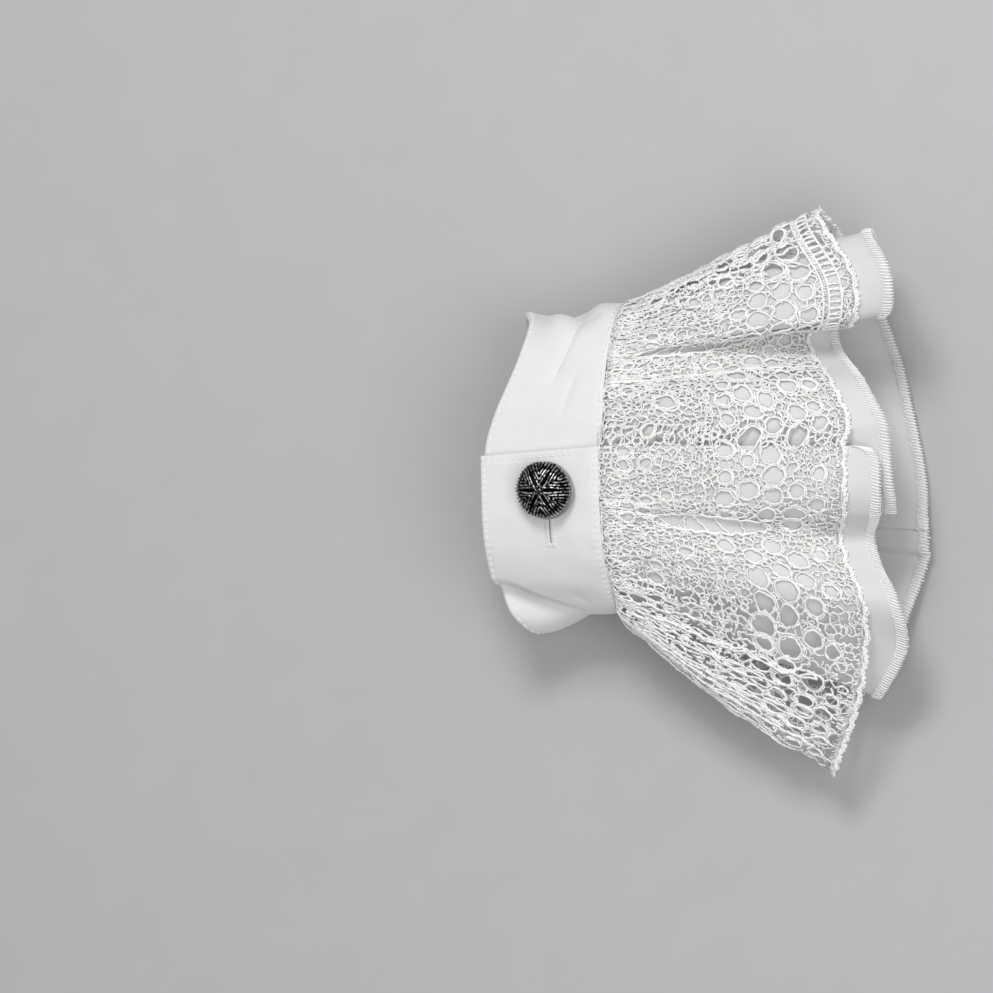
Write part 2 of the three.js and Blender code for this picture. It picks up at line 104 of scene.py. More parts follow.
# The hem of the cotton ruffle, one row for each crest, valley and turn, in order from the overlapping end:
# its name, then along, side, rise and reach. along is the share of the loop where the cloth leaves the
# seam. The others are shares of the ruffle's depth: how far the hem lies towards +Y and +Z of that place,
# and how much of the depth is taut.
HEM_FOLDS = [
    ("overlapping end", 0.000, 0.000, -0.050, 0.955),
    ("crest B, low", 0.040, -0.030, -0.045, 0.960),
    ("slope B to C", 0.066, -0.050, -0.090, 0.945),
    ("valley B to C", 0.092, -0.065, -0.190, 0.905),
    ("rise to C", 0.118, -0.105, -0.140, 0.940),
    ("crest C", 0.152, -0.150, -0.070, 1.010),
    ("fall of C", 0.192, -0.215, -0.100, 1.015),
    ("lower side fold", 0.232, -0.310, -0.130, 0.930),
    ("lower side turn", 0.262, -0.265, -0.120, 0.900),
    ("lower far cloth", 0.300, -0.190, -0.060, 0.920),
    ("far cloth low", 0.350, -0.150, 0.000, 0.925),
    ("pleat, under", 0.405, -0.070, 0.000, 0.975),
    ("pleat, over", 0.425, -0.055, 0.035, 0.985),
    ("far cloth middle", 0.500, 0.000, 0.008, 0.960),
    ("far cloth high", 0.600, 0.030, 0.000, 0.900),
    ("upper side turn", 0.690, 0.120, 0.000, 0.830),
    ("upper side rise", 0.740, 0.200, 0.010, 0.880),
    ("upper side fold", 0.775, 0.255, 0.060, 0.920),
    ("crest A, outer", 0.810, 0.275, 0.080, 0.950),
    ("crest A", 0.840, 0.205, 0.095, 1.020),
    ("lip of A", 0.862, 0.108, 0.005, 0.975),
    ("valley A to B", 0.882, 0.168, -0.180, 0.800),
    ("rise to B", 0.905, 0.100, -0.200, 0.775),
    ("crest B, high", 0.930, 0.035, -0.070, 0.885),
    ("flat of B", 0.970, 0.010, -0.048, 0.965),
    ("lap begins", 1.000, 0.000, -0.060, 0.975),
    ("lap, middle", 1.040, -0.025, -0.060, 0.985),
    ("lapped end", 1.075, -0.040, -0.150, 0.975),
]

# Where the lace leaves the cotton and spreads. along and half are shares of the loop, out and draw_back
# are lengths in millimetres, and ease says how soon it spreads: 1 is evenly with depth, less is sooner.
# fullness is how much more lace than cotton there is in the middle of the spread.
LACE_SPREADS = [
    {"name": "lower side", "along": 0.240, "half": 0.085, "size": "lace_spread_low", "to_y": -1,
     "ease": 0.5, "draw_back": 4, "fullness": 1.9},
    {"name": "upper side", "along": 0.785, "half": 0.055, "size": "lace_spread_high", "to_y": 1,
     "ease": 1.0, "draw_back": 7, "fullness": 0.9},
]


def smooth(t):
    return t * t * (3 - 2 * t)


def clamp01(t):
    return np.clip(t, 0.0, 1.0)


def bump(distance, half):
    return smooth(clamp01(1 - np.abs(distance) / half))


def unit(vectors):
    length = np.linalg.norm(vectors, axis=-1, keepdims=True)
    return vectors / np.maximum(length, 1e-12)


class CuffForm:
    """The form of the cuff: the band's oval section and the two ruffles that hang from it."""

    def __init__(self, sizes):
        self.sizes = sizes
        self.stack = (sizes.cloth_wall + sizes.lace_wall) / 2 + sizes.layer_gap
        self.cloth_rest = sizes.lace_wall + sizes.layer_gap + sizes.cloth_wall / 2
        self.seam_x = sizes.band_length + sizes.layer_gap + sizes.lace_wall / 2
        self.measure_section()
        self.lap_share = sizes.band_overlap / self.loop
        self.lap_lift = sizes.band_wall + sizes.layer_gap
        self.strip_share = 1 + self.lap_share
        self.measure_hem()

    def measure_section(self):
        """The middle line of the band's wall, measured round by its length."""
        s = self.sizes
        half_width = (s.band_width - s.band_wall) / 2
        half_height = (s.band_height + s.band_flat_depth - s.band_wall) / 2
        centre_z = s.band_height - s.band_wall / 2 - half_height
        power = 2 / s.band_squareness
        start = -math.asin((s.overlap_end_across / half_width) ** (1 / power))
        turn = start + TURN * np.linspace(0, 1, 1441)
        y = -half_width * np.sign(np.sin(turn)) * np.abs(np.sin(turn)) ** power
        z = centre_z + half_height * np.sign(np.cos(turn)) * np.abs(np.cos(turn)) ** power
        z = np.maximum(z, s.band_wall / 2)
        steps = np.hypot(np.diff(y), np.diff(z))
        self.section_lengths = np.concatenate([[0], np.cumsum(steps)])
        self.section_y = y
        self.section_z = z
        self.loop = float(self.section_lengths[-1])

    def section(self, share):
        wanted = (share - np.floor(share)) * self.loop
        y = np.interp(wanted, self.section_lengths, self.section_y)
        z = np.interp(wanted, self.section_lengths, self.section_z)
        return y, z

    def section_normal(self, share):
        step = 0.006
        y0, z0 = self.section(share - step)
        y1, z1 = self.section(share + step)
        length = np.hypot(y1 - y0, z1 - z0)
        return (z1 - z0) / length, (y0 - y1) / length

    def lift(self, share):
        return self.lap_lift * (1 - smooth(clamp01((share - self.lap_share) / self.lap_share)))

    def strip(self, share, x, offset):
        """A point of the band's strip, which is a loop and a lap long, outside its middle line."""
        y, z = self.section(share)
        ny, nz = self.section_normal(share)
        out = offset + self.lift(share)
        x = np.broadcast_to(x - self.sizes.band_length / 2, np.shape(share))
        return np.stack([x, y + ny * out, z + nz * out], axis=-1)

    def band_share(self, part, across):
        square = part * self.strip_share
        slant = (self.sizes.overlap_end_slant / self.loop) * (1 - across)
        return square + slant * clamp01(1 - square / self.lap_share)

    def band(self, part, across):
        """The middle of the band's wall, buckled at both sides."""
        s = self.sizes
        share = self.band_share(part, across)
        draw = sum(row["draw"] * bump(share - row["along"], row["half"]) for row in BAND_EDGE_DRAWS)
        x = s.band_length * (draw + (1 - draw) * across)
        push = 0
        for _, along, middle, slant, depth, half_along, half_mouth, half_back in BAND_FOLDS:
            off = across - middle - slant * (share - along)
            half = np.where(off > 0, half_mouth, half_back)
            push = push + depth * bump(share - along, half_along) * bump(off, half)
        held = smooth(clamp01((1 - across) / s.mouth_hold))
        return self.strip(share, x, push * s.band_height * held)

    def hem_value(self, place, column):
        """One column of the hem table at a place between its rows, along a smooth curve through them."""
        values = np.array([row[column] for row in HEM_FOLDS])
        last = len(values) - 1
        row = np.clip(np.floor(place).astype(int), 0, last - 1)
        t = place - row
        before = values[np.maximum(row - 1, 0)]
        start = values[row]
        end = values[row + 1]
        after = values[np.minimum(row + 2, last)]
        slope0 = (end - before) / 2
        slope1 = (after - start) / 2
        return ((2 * t**3 - 3 * t**2 + 1) * start + (t**3 - 2 * t**2 + t) * slope0
                + (3 * t**2 - 2 * t**3) * end + (t**3 - t**2) * slope1)

    def cloth_ends(self, place):
        along, side, rise, reach = (self.hem_value(place, column) for column in (1, 2, 3, 4))
        root = self.strip(along, self.seam_x, -self.stack / 2)
        forward = np.sqrt(reach**2 - side**2 - rise**2)
        hem = root + np.stack([forward, side, rise], axis=-1) * self.sizes.ruffle_depth
        return along, root, hem

    def measure_hem(self):
        """Places in the hem table that stand evenly along the hem."""
        self.places = (len(HEM_FOLDS) - 1) * np.linspace(0, 1, 1601)
        hem = self.cloth_ends(self.places)[2]
        steps = np.linalg.norm(np.diff(hem, axis=0), axis=1)
        self.hem_lengths = np.concatenate([[0], np.cumsum(steps)])
        self.hem_length = float(self.hem_lengths[-1])

    def hem_place(self, share):
        return np.interp(clamp01(share) * self.hem_length, self.hem_lengths, self.places)

    def along(self, share):
        """The share of the loop where the ruffle leaves the seam."""
        return self.hem_value(self.hem_place(share), 1)

    def share_where(self, along):
        """The share of the hem whose cloth leaves the seam at that share of the loop."""
        shares = np.linspace(0, 1, 2001)
        return float(np.interp(along, self.along(shares), shares))

    def cloth(self, share, depth):
        s = self.sizes
        along, root, hem = self.cloth_ends(self.hem_place(share))
        point = root + (hem - root) * depth[..., None]
        ny, nz = self.section_normal(along)
        clear = smooth(clamp01((along - self.lap_share) / self.lap_share)) \
            * smooth(clamp01((1 - along) / self.lap_share))
        fade = np.sin(math.pi * clamp01(depth / s.gather_fade)) * clear
        gather = s.gather_rise * fade * np.cos(TURN * s.gather_count * share)
        point[..., 1] += gather * ny
        point[..., 2] += gather * nz + s.arch_rise * np.sin(math.pi * depth) * np.maximum(0, nz)
        point[..., 2] = np.maximum(point[..., 2], self.cloth_rest + s.lace_air * depth)
        return point

    def normal(self, surface, share, depth):
        """The outward direction of a surface, from its neighbouring points."""
        step, drop = 0.003, 0.02
        along = surface(clamp01(share + step), depth) - surface(clamp01(share - step), depth)
        down = surface(share, clamp01(depth + drop)) - surface(share, clamp01(depth - drop))
        return unit(np.cross(along, down))

    def lace(self, share, depth):
        """The middle of the lace, which lies on the cotton's near side and under its far side."""
        s = self.sizes
        cloth_depth = depth * s.lace_depth / s.ruffle_depth
        normal = self.normal(self.cloth, share, cloth_depth)
        under = smooth(clamp01(0.5 - 1.5 * normal[..., 2]))
        away = s.lace_rest + (self.stack + s.lace_air * cloth_depth - s.lace_rest) * under
        point = self.cloth(share, cloth_depth) + normal * away[..., None]
        along = self.along(share)
        for row in LACE_SPREADS:
            part = bump(along - row["along"], row["half"])
            point[..., 1] += row["to_y"] * getattr(s, row["size"]) * clamp01(depth) ** row["ease"] * part
            point[..., 0] -= row["draw_back"] * MM * depth * part
        point[..., 0] = np.maximum(point[..., 0], self.seam_x - s.band_length / 2 - s.seam_tuck)
        point[..., 2] = np.maximum(point[..., 2], s.lace_wall / 2)
        return point


class Sheet:
    """A surface sampled on a grid of places along and down it, so that threads can be laid on it."""

    def __init__(self, columns, rows, points):
        self.columns = columns
        self.rows = rows
        self.points = points
        self.normals = grid_normals(points)

    @classmethod
    def sample(cls, surface, columns, rows, relief):
        along, down = np.meshgrid(columns, rows, indexing="ij")
        sheet = cls(columns, rows, surface(along, down))
        return cls(columns, rows, sheet.points + sheet.normals * relief(along, down)[..., None])

    def at(self, along, down, offset=0.0):
        """Points and directions outward at places on the sheet, or a little past its last row."""
        u = np.interp(along, self.columns, np.arange(len(self.columns)))
        v = np.interp(down, self.rows, np.arange(len(self.rows)))
        i = np.minimum(u.astype(int), len(self.columns) - 2)
        j = np.minimum(v.astype(int), len(self.rows) - 2)
        fu = (u - i)[..., None]
        fv = (v - j)[..., None]

        def mix(grid):
            low = grid[i, j] * (1 - fu) + grid[i + 1, j] * fu
            high = grid[i, j + 1] * (1 - fu) + grid[i + 1, j + 1] * fu
            return low * (1 - fv) + high * fv

        past = np.maximum(down - self.rows[-1], 0) / (self.rows[-1] - self.rows[-3])
        ahead = (self.points[i, -1] - self.points[i, -3]) * past[..., None]
        normals = unit(mix(self.normals))
        offset = np.broadcast_to(offset, np.shape(along))[..., None]
        return mix(self.points) + ahead + normals * offset, normals


def grid_normals(points):
    along = np.gradient(points, axis=0)
    down = np.gradient(points, axis=1)
    return unit(np.cross(along, down))


class MeshParts:
    """Vertices, faces and texture coordinates that are gathered into one mesh."""

    def __init__(self):
        self.vertices = []
        self.faces = {3: [], 4: []}
        self.uvs = {3: [], 4: []}
        self.count = 0

    def add(self, vertices, faces, uvs):
        """Faces are rows of three or of four corners, with a texture coordinate for each corner."""
        self.add_more(faces, uvs, self.count)
        self.vertices.append(vertices)
        self.count += len(vertices)

    def add_more(self, faces, uvs, start):
        """More faces on vertices that are there already, numbered from a start."""
        self.faces[faces.shape[1]].append(faces + start)
        self.uvs[faces.shape[1]].append(uvs)

    def build(self, name, material):
        mesh = bpy.data.meshes.new(name)
        vertices = np.concatenate(self.vertices)
        loops = []
        starts = []
        uvs = []
        position = 0
        for corners in (3, 4):
            if not self.faces[corners]:
                continue
            faces = np.concatenate(self.faces[corners])
            loops.append(faces.ravel())
            uvs.append(np.concatenate(self.uvs[corners]).reshape(-1, 2))
            starts.append(position + corners * np.arange(len(faces)))
            position += faces.size
        mesh.vertices.add(len(vertices))
        mesh.vertices.foreach_set("co", vertices.astype(np.float32).ravel())
        mesh.loops.add(position)
        mesh.loops.foreach_set("vertex_index", np.concatenate(loops).astype(np.int32))
        starts = np.concatenate(starts)
        mesh.polygons.add(len(starts))
        mesh.polygons.foreach_set("loop_start", starts.astype(np.int32))
        mesh.polygons.foreach_set("use_smooth", np.ones(len(starts), dtype=bool))
        layer = mesh.uv_layers.new(name="flat")
        layer.data.foreach_set("uv", np.concatenate(uvs).astype(np.float32).ravel())
        mesh.update(calc_edges=True)
        mesh.validate()
        mesh.materials.append(material)
        piece = bpy.data.objects.new(name, mesh)
        bpy.context.scene.collection.objects.link(piece)
        return piece


def quads(at, i, j, i1, j1):
    """The four-cornered faces of a grid, where at gives the number of the vertex at a place."""
    return np.stack([at(i, j), at(i1, j), at(i1, j1), at(i, j1)], axis=-1).reshape(-1, 4)


def add_tubes(parts, paths, normals, radius, sides, closed=False, flat=1.0):
    """Threads along many paths of equally many points, round or pressed flat, open or closed."""
    many, length = paths.shape[:2]
    radius = np.broadcast_to(radius, (many, length))
    if closed:
        tangents = np.roll(paths, -1, axis=1) - np.roll(paths, 1, axis=1)
    else:
        tangents = np.gradient(paths, axis=1)
    tangents = unit(tangents)
    across = unit(np.cross(normals, tangents))
    up = np.cross(tangents, across)
    angle = TURN * (np.arange(sides) + 0.5) / sides
    ring = np.cos(angle)[:, None] * across[:, :, None, :] \
        + flat * np.sin(angle)[:, None] * up[:, :, None, :]
    vertices = (paths[:, :, None, :] + radius[:, :, None, None] * ring).reshape(-1, 3)
    steps = np.linalg.norm(np.diff(paths, axis=1), axis=2)
    run = np.concatenate([np.zeros((many, 1)), np.cumsum(steps, axis=1)], axis=1)

    spans = length if closed else length - 1
    m, k, s = np.meshgrid(np.arange(many), np.arange(spans), np.arange(sides), indexing="ij")
    k1 = (k + 1) % length
    s1 = (s + 1) % sides

    def at(side, place):
        return (m * length + place) * sides + side

    run0 = run[m, k]
    run1 = np.where(k1 == 0, run0 + MM, run[m, k1])
    turn0 = s / sides * MM
    turn1 = (s + 1) / sides * MM
    uvs = np.stack([
        np.stack([run0, turn0], -1), np.stack([run0, turn1], -1),
        np.stack([run1, turn1], -1), np.stack([run1, turn0], -1),
    ], axis=-2).reshape(-1, 4, 2)
    start = parts.count
    parts.add(vertices, quads(at, s, k, s1, k1), uvs)
    if closed:
        return
    for end, order in ((0, np.arange(sides)[::-1]), (length - 1, np.arange(sides))):
        base = (np.arange(many) * length + end) * sides
        for cut in range(1, sides - 1):
            fan = np.stack([base + order[0], base + order[cut], base + order[cut + 1]], axis=-1)
            parts.add_more(fan, np.zeros((many, 3, 2)), start)


def add_slab(parts, outer, inner, size, hole=None):
    """A closed cloth from its two faces, each a grid of points, with walls round its edge and its hole."""
    columns, rows = outer.shape[:2]
    i, j = np.meshgrid(np.arange(columns - 1), np.arange(rows - 1), indexing="ij")
    if hole:
        solid = ~((i >= hole[0]) & (i < hole[1]) & (j >= hole[2]) & (j < hole[3]))
        i, j = i[solid], j[solid]

    def at(column, row):
        return column * rows + row

    def flat(column, row):
        return np.stack([column / (columns - 1) * size[0], row / (rows - 1) * size[1]], axis=-1)

    quad = quads(at, i, j, i + 1, j + 1)
    uv = [flat(i, j), flat(i + 1, j), flat(i + 1, j + 1), flat(i, j + 1)]
    uv = np.stack(uv, axis=-2).reshape(-1, 4, 2)
    count = columns * rows
    start = parts.count
    parts.add(np.concatenate([outer.reshape(-1, 3), inner.reshape(-1, 3)]), quad, uv)
    parts.add_more(quad[:, ::-1] + count, uv[:, ::-1], start)
    walls = [(0, columns - 1, 0, rows - 1, 1)]
    if hole:
        walls.append((*hole, -1))
    for i0, i1, j0, j1, way in walls:
        edge = np.concatenate([
            at(np.arange(i0, i1), j0), at(i1, np.arange(j0, j1)),
            at(np.arange(i1, i0, -1), j1), at(i0, np.arange(j1, j0, -1)),
        ])[::way]
        following = np.roll(edge, -1)
        wall = np.stack([following, edge, edge + count, following + count], axis=-1)
        parts.add_more(wall, np.zeros((len(wall), 4, 2)), start)


def paint(hex_colour):
    """A colour given in sRGB hex, turned to linear for the shader."""
    values = [int(hex_colour[k:k + 2], 16) / 255 for k in (1, 3, 5)]
    linear = [v / 12.92 if v <= 0.04045 else ((v + 0.055) / 1.055) ** 2.4 for v in values]
    return (*linear, 1.0)


def put(tree, kind, values=None, links=None, **settings):
    """Adds one node with its settings, its socket values and its links."""
    node = tree.nodes.new("ShaderNode" + kind)
    for key, value in settings.items():
        setattr(node, key, value)
    for key, value in (values or {}).items():
        node.inputs[key].default_value = value
    for key, socket in (links or {}).items():
        tree.links.new(socket, node.inputs[key])
    return node


def wave_scale(period_mm):
    """The scale at which a wave texture, which turns by 20 a unit, repeats every so many millimetres."""
    return TURN / 20 / (period_mm * MM)


def noise_scale(patch_mm):
    """The scale at which a noise texture has a patch every so many millimetres."""
    return 1 / (patch_mm * MM)


def new_material(name):
    """A material with no nodes but the one that gives places on its own object."""
    material = bpy.data.materials.new(name)
    material.use_nodes = True
    tree = material.node_tree
    tree.nodes.clear()
    return material, tree, put(tree, "TexCoord").outputs["Object"]


def finished(material, values, links):
    """The material with its shader, which has these values and links."""
    shader = put(material.node_tree, "BsdfPrincipled", values, links)
    put(material.node_tree, "OutputMaterial", links={"Surface": shader.outputs[0]})
    return material


def mottled(tree, place, light, dark, patch_mm, noise):
    """A colour that drifts between light and dark in patches of so many millimetres."""
    patches = put(tree, "TexNoise", {"Scale": noise_scale(patch_mm), **noise}, {"Vector": place})
    mixed = put(tree, "Mix", {6: dark, 7: light}, {0: patches.outputs["Fac"]}, data_type="RGBA")
    return mixed.outputs[2]


def woven_cotton(name, light, dark, spacing_mm, relief_mm):
    """Bleached cotton, plain woven: matt and white, with a faint even grain and a soft sheen at edges."""
    # Such cotton has a thread every 0.2 mm. It is given a little coarser, so that the grain shows.
    material, tree, place = new_material(name)
    flat = put(tree, "UVMap", uv_map="flat").outputs["UV"]
    weave = {"Scale": wave_scale(spacing_mm), "Distortion": 1.2, "Detail": 1.0, "Detail Scale": 2.0}
    threads = []
    for direction in ("X", "Y"):
        wave = put(tree, "TexWave", weave, {"Vector": flat}, bands_direction=direction)
        threads.append(wave.outputs["Fac"])
    grain = put(tree, "Math", links={0: threads[0], 1: threads[1]}, operation="ADD")
    slubs = mottled(tree, place, light, dark, 7.14, {"Detail": 4.0, "Roughness": 0.6})
    bumped = put(tree, "Bump", {"Strength": 0.35, "Distance": relief_mm * MM},
                 {"Height": grain.outputs[0]})
    values = {"Roughness": 0.85, "IOR": 1.45, "Sheen Weight": 0.15, "Sheen Roughness": 0.5}
    return finished(material, values, {"Base Color": slubs, "Normal": bumped.outputs["Normal"]})


def twisted_cotton(name, colours, twist_mm, relief_mm):
    """Twisted cotton thread: white, softly lustrous, with the slant of its plies and a little fluff."""
    material, tree, place = new_material(name)
    flat = put(tree, "UVMap", uv_map="flat").outputs["UV"]
    ply = put(tree, "TexWave", {"Scale": wave_scale(twist_mm), "Distortion": 0.6, "Detail": 1.0},
              {"Vector": flat}, bands_direction="DIAGONAL")
    fluff = put(tree, "TexNoise", {"Scale": noise_scale(0.714), "Detail": 3.0, "Roughness": 0.7},
                {"Vector": place})
    height = put(tree, "Math", links={0: ply.outputs["Fac"], 1: fluff.outputs["Fac"]},
                 operation="ADD")
    wear = mottled(tree, place, colours.lace_light, colours.lace_dark, 4.545, {"Detail": 2.0})
    bumped = put(tree, "Bump", {"Strength": 0.5, "Distance": relief_mm * MM},
                 {"Height": height.outputs[0]})
    values = {"Roughness": 0.65, "IOR": 1.5, "Sheen Weight": 0.2, "Sheen Roughness": 0.4}
    return finished(material, values, {"Base Color": wear, "Normal": bumped.outputs["Normal"]})


def blackened_metal(name, dark, bright):
    """Cast white metal, blackened and rubbed back: near black in the hollows, bright along each ridge."""
    material, tree, place = new_material(name)
    wear = {"Scale": noise_scale(1.111), "Detail": 5.0, "Roughness": 0.65}
    rubbing = put(tree, "TexNoise", wear, {"Vector": place})
    rubbed = rubbing.outputs["Fac"]
    ramp = put(tree, "ValToRGB", links={"Fac": rubbed})
    for stop, position, colour_there in zip(ramp.color_ramp.elements, (0.45, 0.64), (dark, bright)):
        stop.position = position
        stop.color = colour_there
    rough = put(tree, "MapRange", {"To Min": 0.18, "To Max": 0.4}, {"Value": rubbed})
    bumped = put(tree, "Bump", {"Strength": 0.3, "Distance": 0.04 * MM}, {"Height": rubbed})
    return finished(material, {"Metallic": 1.0},
                    {"Base Color": ramp.outputs["Color"], "Roughness": rough.outputs["Result"],
                     "Normal": bumped.outputs["Normal"]})


def clouded_resin(name, light, dark):
    """Cast polyester resin, clouded like horn: pale grey, half clear, with a polished edge."""
    material, tree, place = new_material(name)
    clouds = mottled(tree, place, light, dark, 3.846, {"Detail": 3.0, "Distortion": 0.8})
    values = {"Roughness": 0.2, "IOR": 1.52, "Transmission Weight": 0.45, "Coat Weight": 0.3}
    return finished(material, values, {"Base Color": clouds})


def matt_paper(name, light, dark):
    """A studio's paper floor: pale, quite matt, with the faint mottle of pulp."""
    material, tree, place = new_material(name)
    pulp = mottled(tree, place, light, dark, 16.667, {"Detail": 6.0})
    return finished(material, {"Roughness": 0.9, "Specular IOR Level": 0.2}, {"Base Color": pulp})


def length(name, millimetres, description):
    return FloatProperty(name=name, description=description, default=millimetres * MM, min=0.0,
                         unit="LENGTH", precision=4)


def share(name, value, description):
    return FloatProperty(name=name, description=description, default=value, min=0.0, max=1.0,
                         subtype="FACTOR")


def colour(name, hex_colour, description):
    return FloatVectorProperty(name=name, description=description, default=paint(hex_colour), size=4,
                               min=0.0, max=1.0, subtype="COLOR")


class CuffSizes(bpy.types.PropertyGroup):
    """Sizes of the band and of the two ruffles."""

    band_length: length("Band length", 37.5, "From the back edge to the mouth")
    band_width: length("Band width", 93, "Across the band as it lies")
    band_height: length("Band height", 46, "From the table to the top of the band")
    band_wall: length("Band wall", 2.6, "Room for the band's folded cloth")
    band_face: length("Band face", 1.3, "From the middle of the band's wall to its outer face")
    band_lining: length("Band lining", 0.7, "From the middle of the band's wall to its inner face")
    band_overlap: length("Band overlap", 25, "How far the buttoned ends lap")
    band_flat_depth: length("Flat depth", 2, "How much of the oval is pressed flat on the table")
    band_squareness: FloatProperty(name="Squareness", description="Power of the oval, 2 for an ellipse",
                                   default=2.25, min=2.0, max=6.0)
    overlap_end_across: length("Overlap end", 3.7, "How far off the middle the upper end lies")
    overlap_end_slant: length("Overlap slant", 3, "How far the upper end slants over the band's length")
    mouth_hold: share("Mouth hold", 0.12, "Share of the band beside the mouth that the ruffles keep smooth")
    layer_gap: length("Layer gap", 0.3, "Clearance between layers of cloth")
    seam_tuck: length("Seam tuck", 0.6, "How far the ruffles' upper edges go in under the band's mouth")
    seam_rise: length("Seam rise", 1.7, "How far the gathered lace puffs up beside the band")
    seam_fade: length("Seam fade", 9, "How soon the puffed lace comes down to the cotton")
    ruffle_depth: length("Ruffle depth", 90, "Depth of the cotton ruffle")
    lace_depth: length("Lace depth", 80, "Depth of the lace ruffle")
    cloth_wall: length("Cloth room", 1, "Room for the cotton ruffle's cloth")
    cloth_thickness: length("Cloth thickness", 0.44, "Thickness of the cotton ruffle's cloth")
    hem_thickness: length("Hem thickness", 0.8, "Thickness of the cotton ruffle's turned hem")
    lace_wall: length("Lace room", 1, "Room for the lace's threads")
    lace_rest: length("Lace rest", 0.66, "From the middle of the cotton to the middle of lace lying on it")
    lace_flap: length("Lace flap", 34, "How far the lace's upper end reaches past the cotton's")
    flap_rest: length("Flap rest", 0.15, "How far the lace's flap stands off what it lies on")
    flap_slope: length("Flap slope", 10, "How far from the cotton's end the flap comes down")
    flap_lap: length("Flap lap", 3, "How far the lace's lower end goes in under the flap")
    lace_air: length("Lace air", 0.8, "How much further the lace stands off at the hem")
    lace_spread_low: length("Lower spread", 24, "How far the lace spreads past the lower side")
    lace_spread_high: length("Upper spread", 7, "How far the lace spreads past the upper side")
    arch_rise: length("Arch rise", 2.7, "How far the near cloth arches between seam and hem")
    gather_count: IntProperty(name="Gathers", description="Soft folds round the seam", default=18, min=0)
    gather_rise: length("Gather rise", 0.8, "Height of the soft folds")
    gather_fade: share("Gather fade", 0.55, "Share of the depth over which the soft folds run out")


class ButtonSizes(bpy.types.PropertyGroup):
    """Sizes of the button and of its buttonhole."""

    diameter: length("Diameter", 17, "Across the metal cap")
    dome_height: length("Dome height", 3.6, "From the cap's rim to its top")
    rim_height: length("Rim height", 1.5, "Height of the cap's rim")
    strand: length("Strand", 0.58, "Thickness of one cast strand")
    back_diameter: length("Back diameter", 17.4, "Across the resin back")
    back_thickness: length("Back thickness", 1.0, "Thickness of the resin back")
    shank_diameter: length("Shank diameter", 1.8, "Across the wound thread shank")
    shank_length: length("Shank length", 1.6, "From the band to the back of the button")
    along: length("Place along", 21.6, "From the band's back edge to the button's middle")
    from_end: length("Place from end", 12.5, "From the overlapping end to the button's middle")
    hole_length: length("Buttonhole", 19, "Length of the buttonhole")
    hole_width: length("Hole width", 0.6, "Width of the open slit")
    shank_from_hole_end: length("Shank from hole's end", 3, "From the slit's end to the shank")


class ThreadSizes(bpy.types.PropertyGroup):
    """Sizes of the sewing and of the lace's threads."""

    sewing: length("Sewing thread", 0.30, "Thickness of the topstitching thread")
    stitch: length("Stitch length", 2.0, "Pitch of the topstitching")
    back_margin: length("Back margin", 1.5, "From the back edge to its topstitching")
    mouth_margin: length("Mouth margin", 1.3, "From the mouth to its topstitching")
    overlock: length("Overlock thread", 0.44, "Thickness of the fluffy overlock thread")
    overlock_pitch: length("Overlock pitch", 0.95, "Pitch of the overlock along the hem")
    overlock_width: length("Overlock width", 2.7, "How far the overlock reaches in from the hem")
    lace_thin: length("Thin lace thread", 0.56, "Thickness of the finest lace thread")
    lace_thick: length("Thick lace thread", 0.64, "Thickness of the cords round the holes")
    hole_least: length("Least hole", 4.4, "Across the smallest round hole of the lace")
    hole_most: length("Largest hole", 7.6, "Across the largest round hole of the lace")


class CuffColours(bpy.types.PropertyGroup):
    """Colours of the cuff and of the stage."""

    cotton_light: colour("Cotton, light", "#e9e9e8", "Bleached cotton where the weave is open")
    cotton_dark: colour("Cotton, dark", "#e0e0df", "Bleached cotton where the weave is close")
    # The ruffle's cotton is a darker copy of the band's cotton. The darkening is painted shade for the
    # shadow that the lace and the folds cast on it. Its light and dark still drift with the weave.
    ruffle_light_painted_shade: colour("Ruffle, light, painted shade", "#dededd", "Ruffle's cotton where the weave is open")
    ruffle_dark_painted_shade: colour("Ruffle, dark, painted shade", "#d4d4d3", "Ruffle's cotton where the weave is close")
    lace_light: colour("Lace, light", "#fefefd", "Cotton lace where it is fluffy")
    lace_dark: colour("Lace, dark", "#f6f6f4", "Cotton lace where it is worn smooth")
    metal_dark: colour("Metal, dark", "#070708", "Blackened hollows of the button")
    metal_worn: colour("Metal, worn", "#232326", "Slopes of the button's strands")
    metal_bright: colour("Metal, bright", "#e8e8ec", "Rubbed ridges of the button")
    resin_light: colour("Resin, light", "#d6d6d2", "Clear streaks of the button's back")
    resin_dark: colour("Resin, dark", "#8f8f8c", "Cloudy streaks of the button's back")
    floor_light: colour("Floor, light", "#bebec0", "Studio paper")
    floor_dark: colour("Floor, dark", "#b9b9bb", "Mottle of the studio paper")


class Ripples:
    """A smooth random relief of about unit height: waves of one range of lengths in random directions."""

    def __init__(self, rng, shortest, longest, waves=14, stretch=1.0):
        angle = rng.uniform(0, TURN, waves)
        number = TURN / rng.uniform(shortest, longest, waves)
        self.kx = number * np.cos(angle)
        self.ky = number * np.sin(angle) / stretch
        self.phase = rng.uniform(0, TURN, waves)

    def __call__(self, x, y):
        total = 0
        for kx, ky, phase in zip(self.kx, self.ky, self.phase):
            total = total + np.cos(kx * x + ky * y + phase)
        return total * math.sqrt(2 / len(self.phase))


def graded(span, coarse, fine, near, reach, exact=()):
    """Places from 0 to span, closer together near some of them, with some that must be among them."""
    x = np.linspace(0, span, 6001)
    nearest = np.min(np.abs(x[:, None] - np.array(near)), axis=1)
    step = fine + (coarse - fine) * smooth(clamp01(nearest / reach - 0.3))
    count = np.concatenate([[0], np.cumsum((1 / step[1:] + 1 / step[:-1]) / 2 * np.diff(x))])
    places = np.interp(np.linspace(0, count[-1], math.ceil(count[-1]) + 1), count, x)
    for value in exact:
        places[np.argmin(np.abs(places - value))] = value
    return places


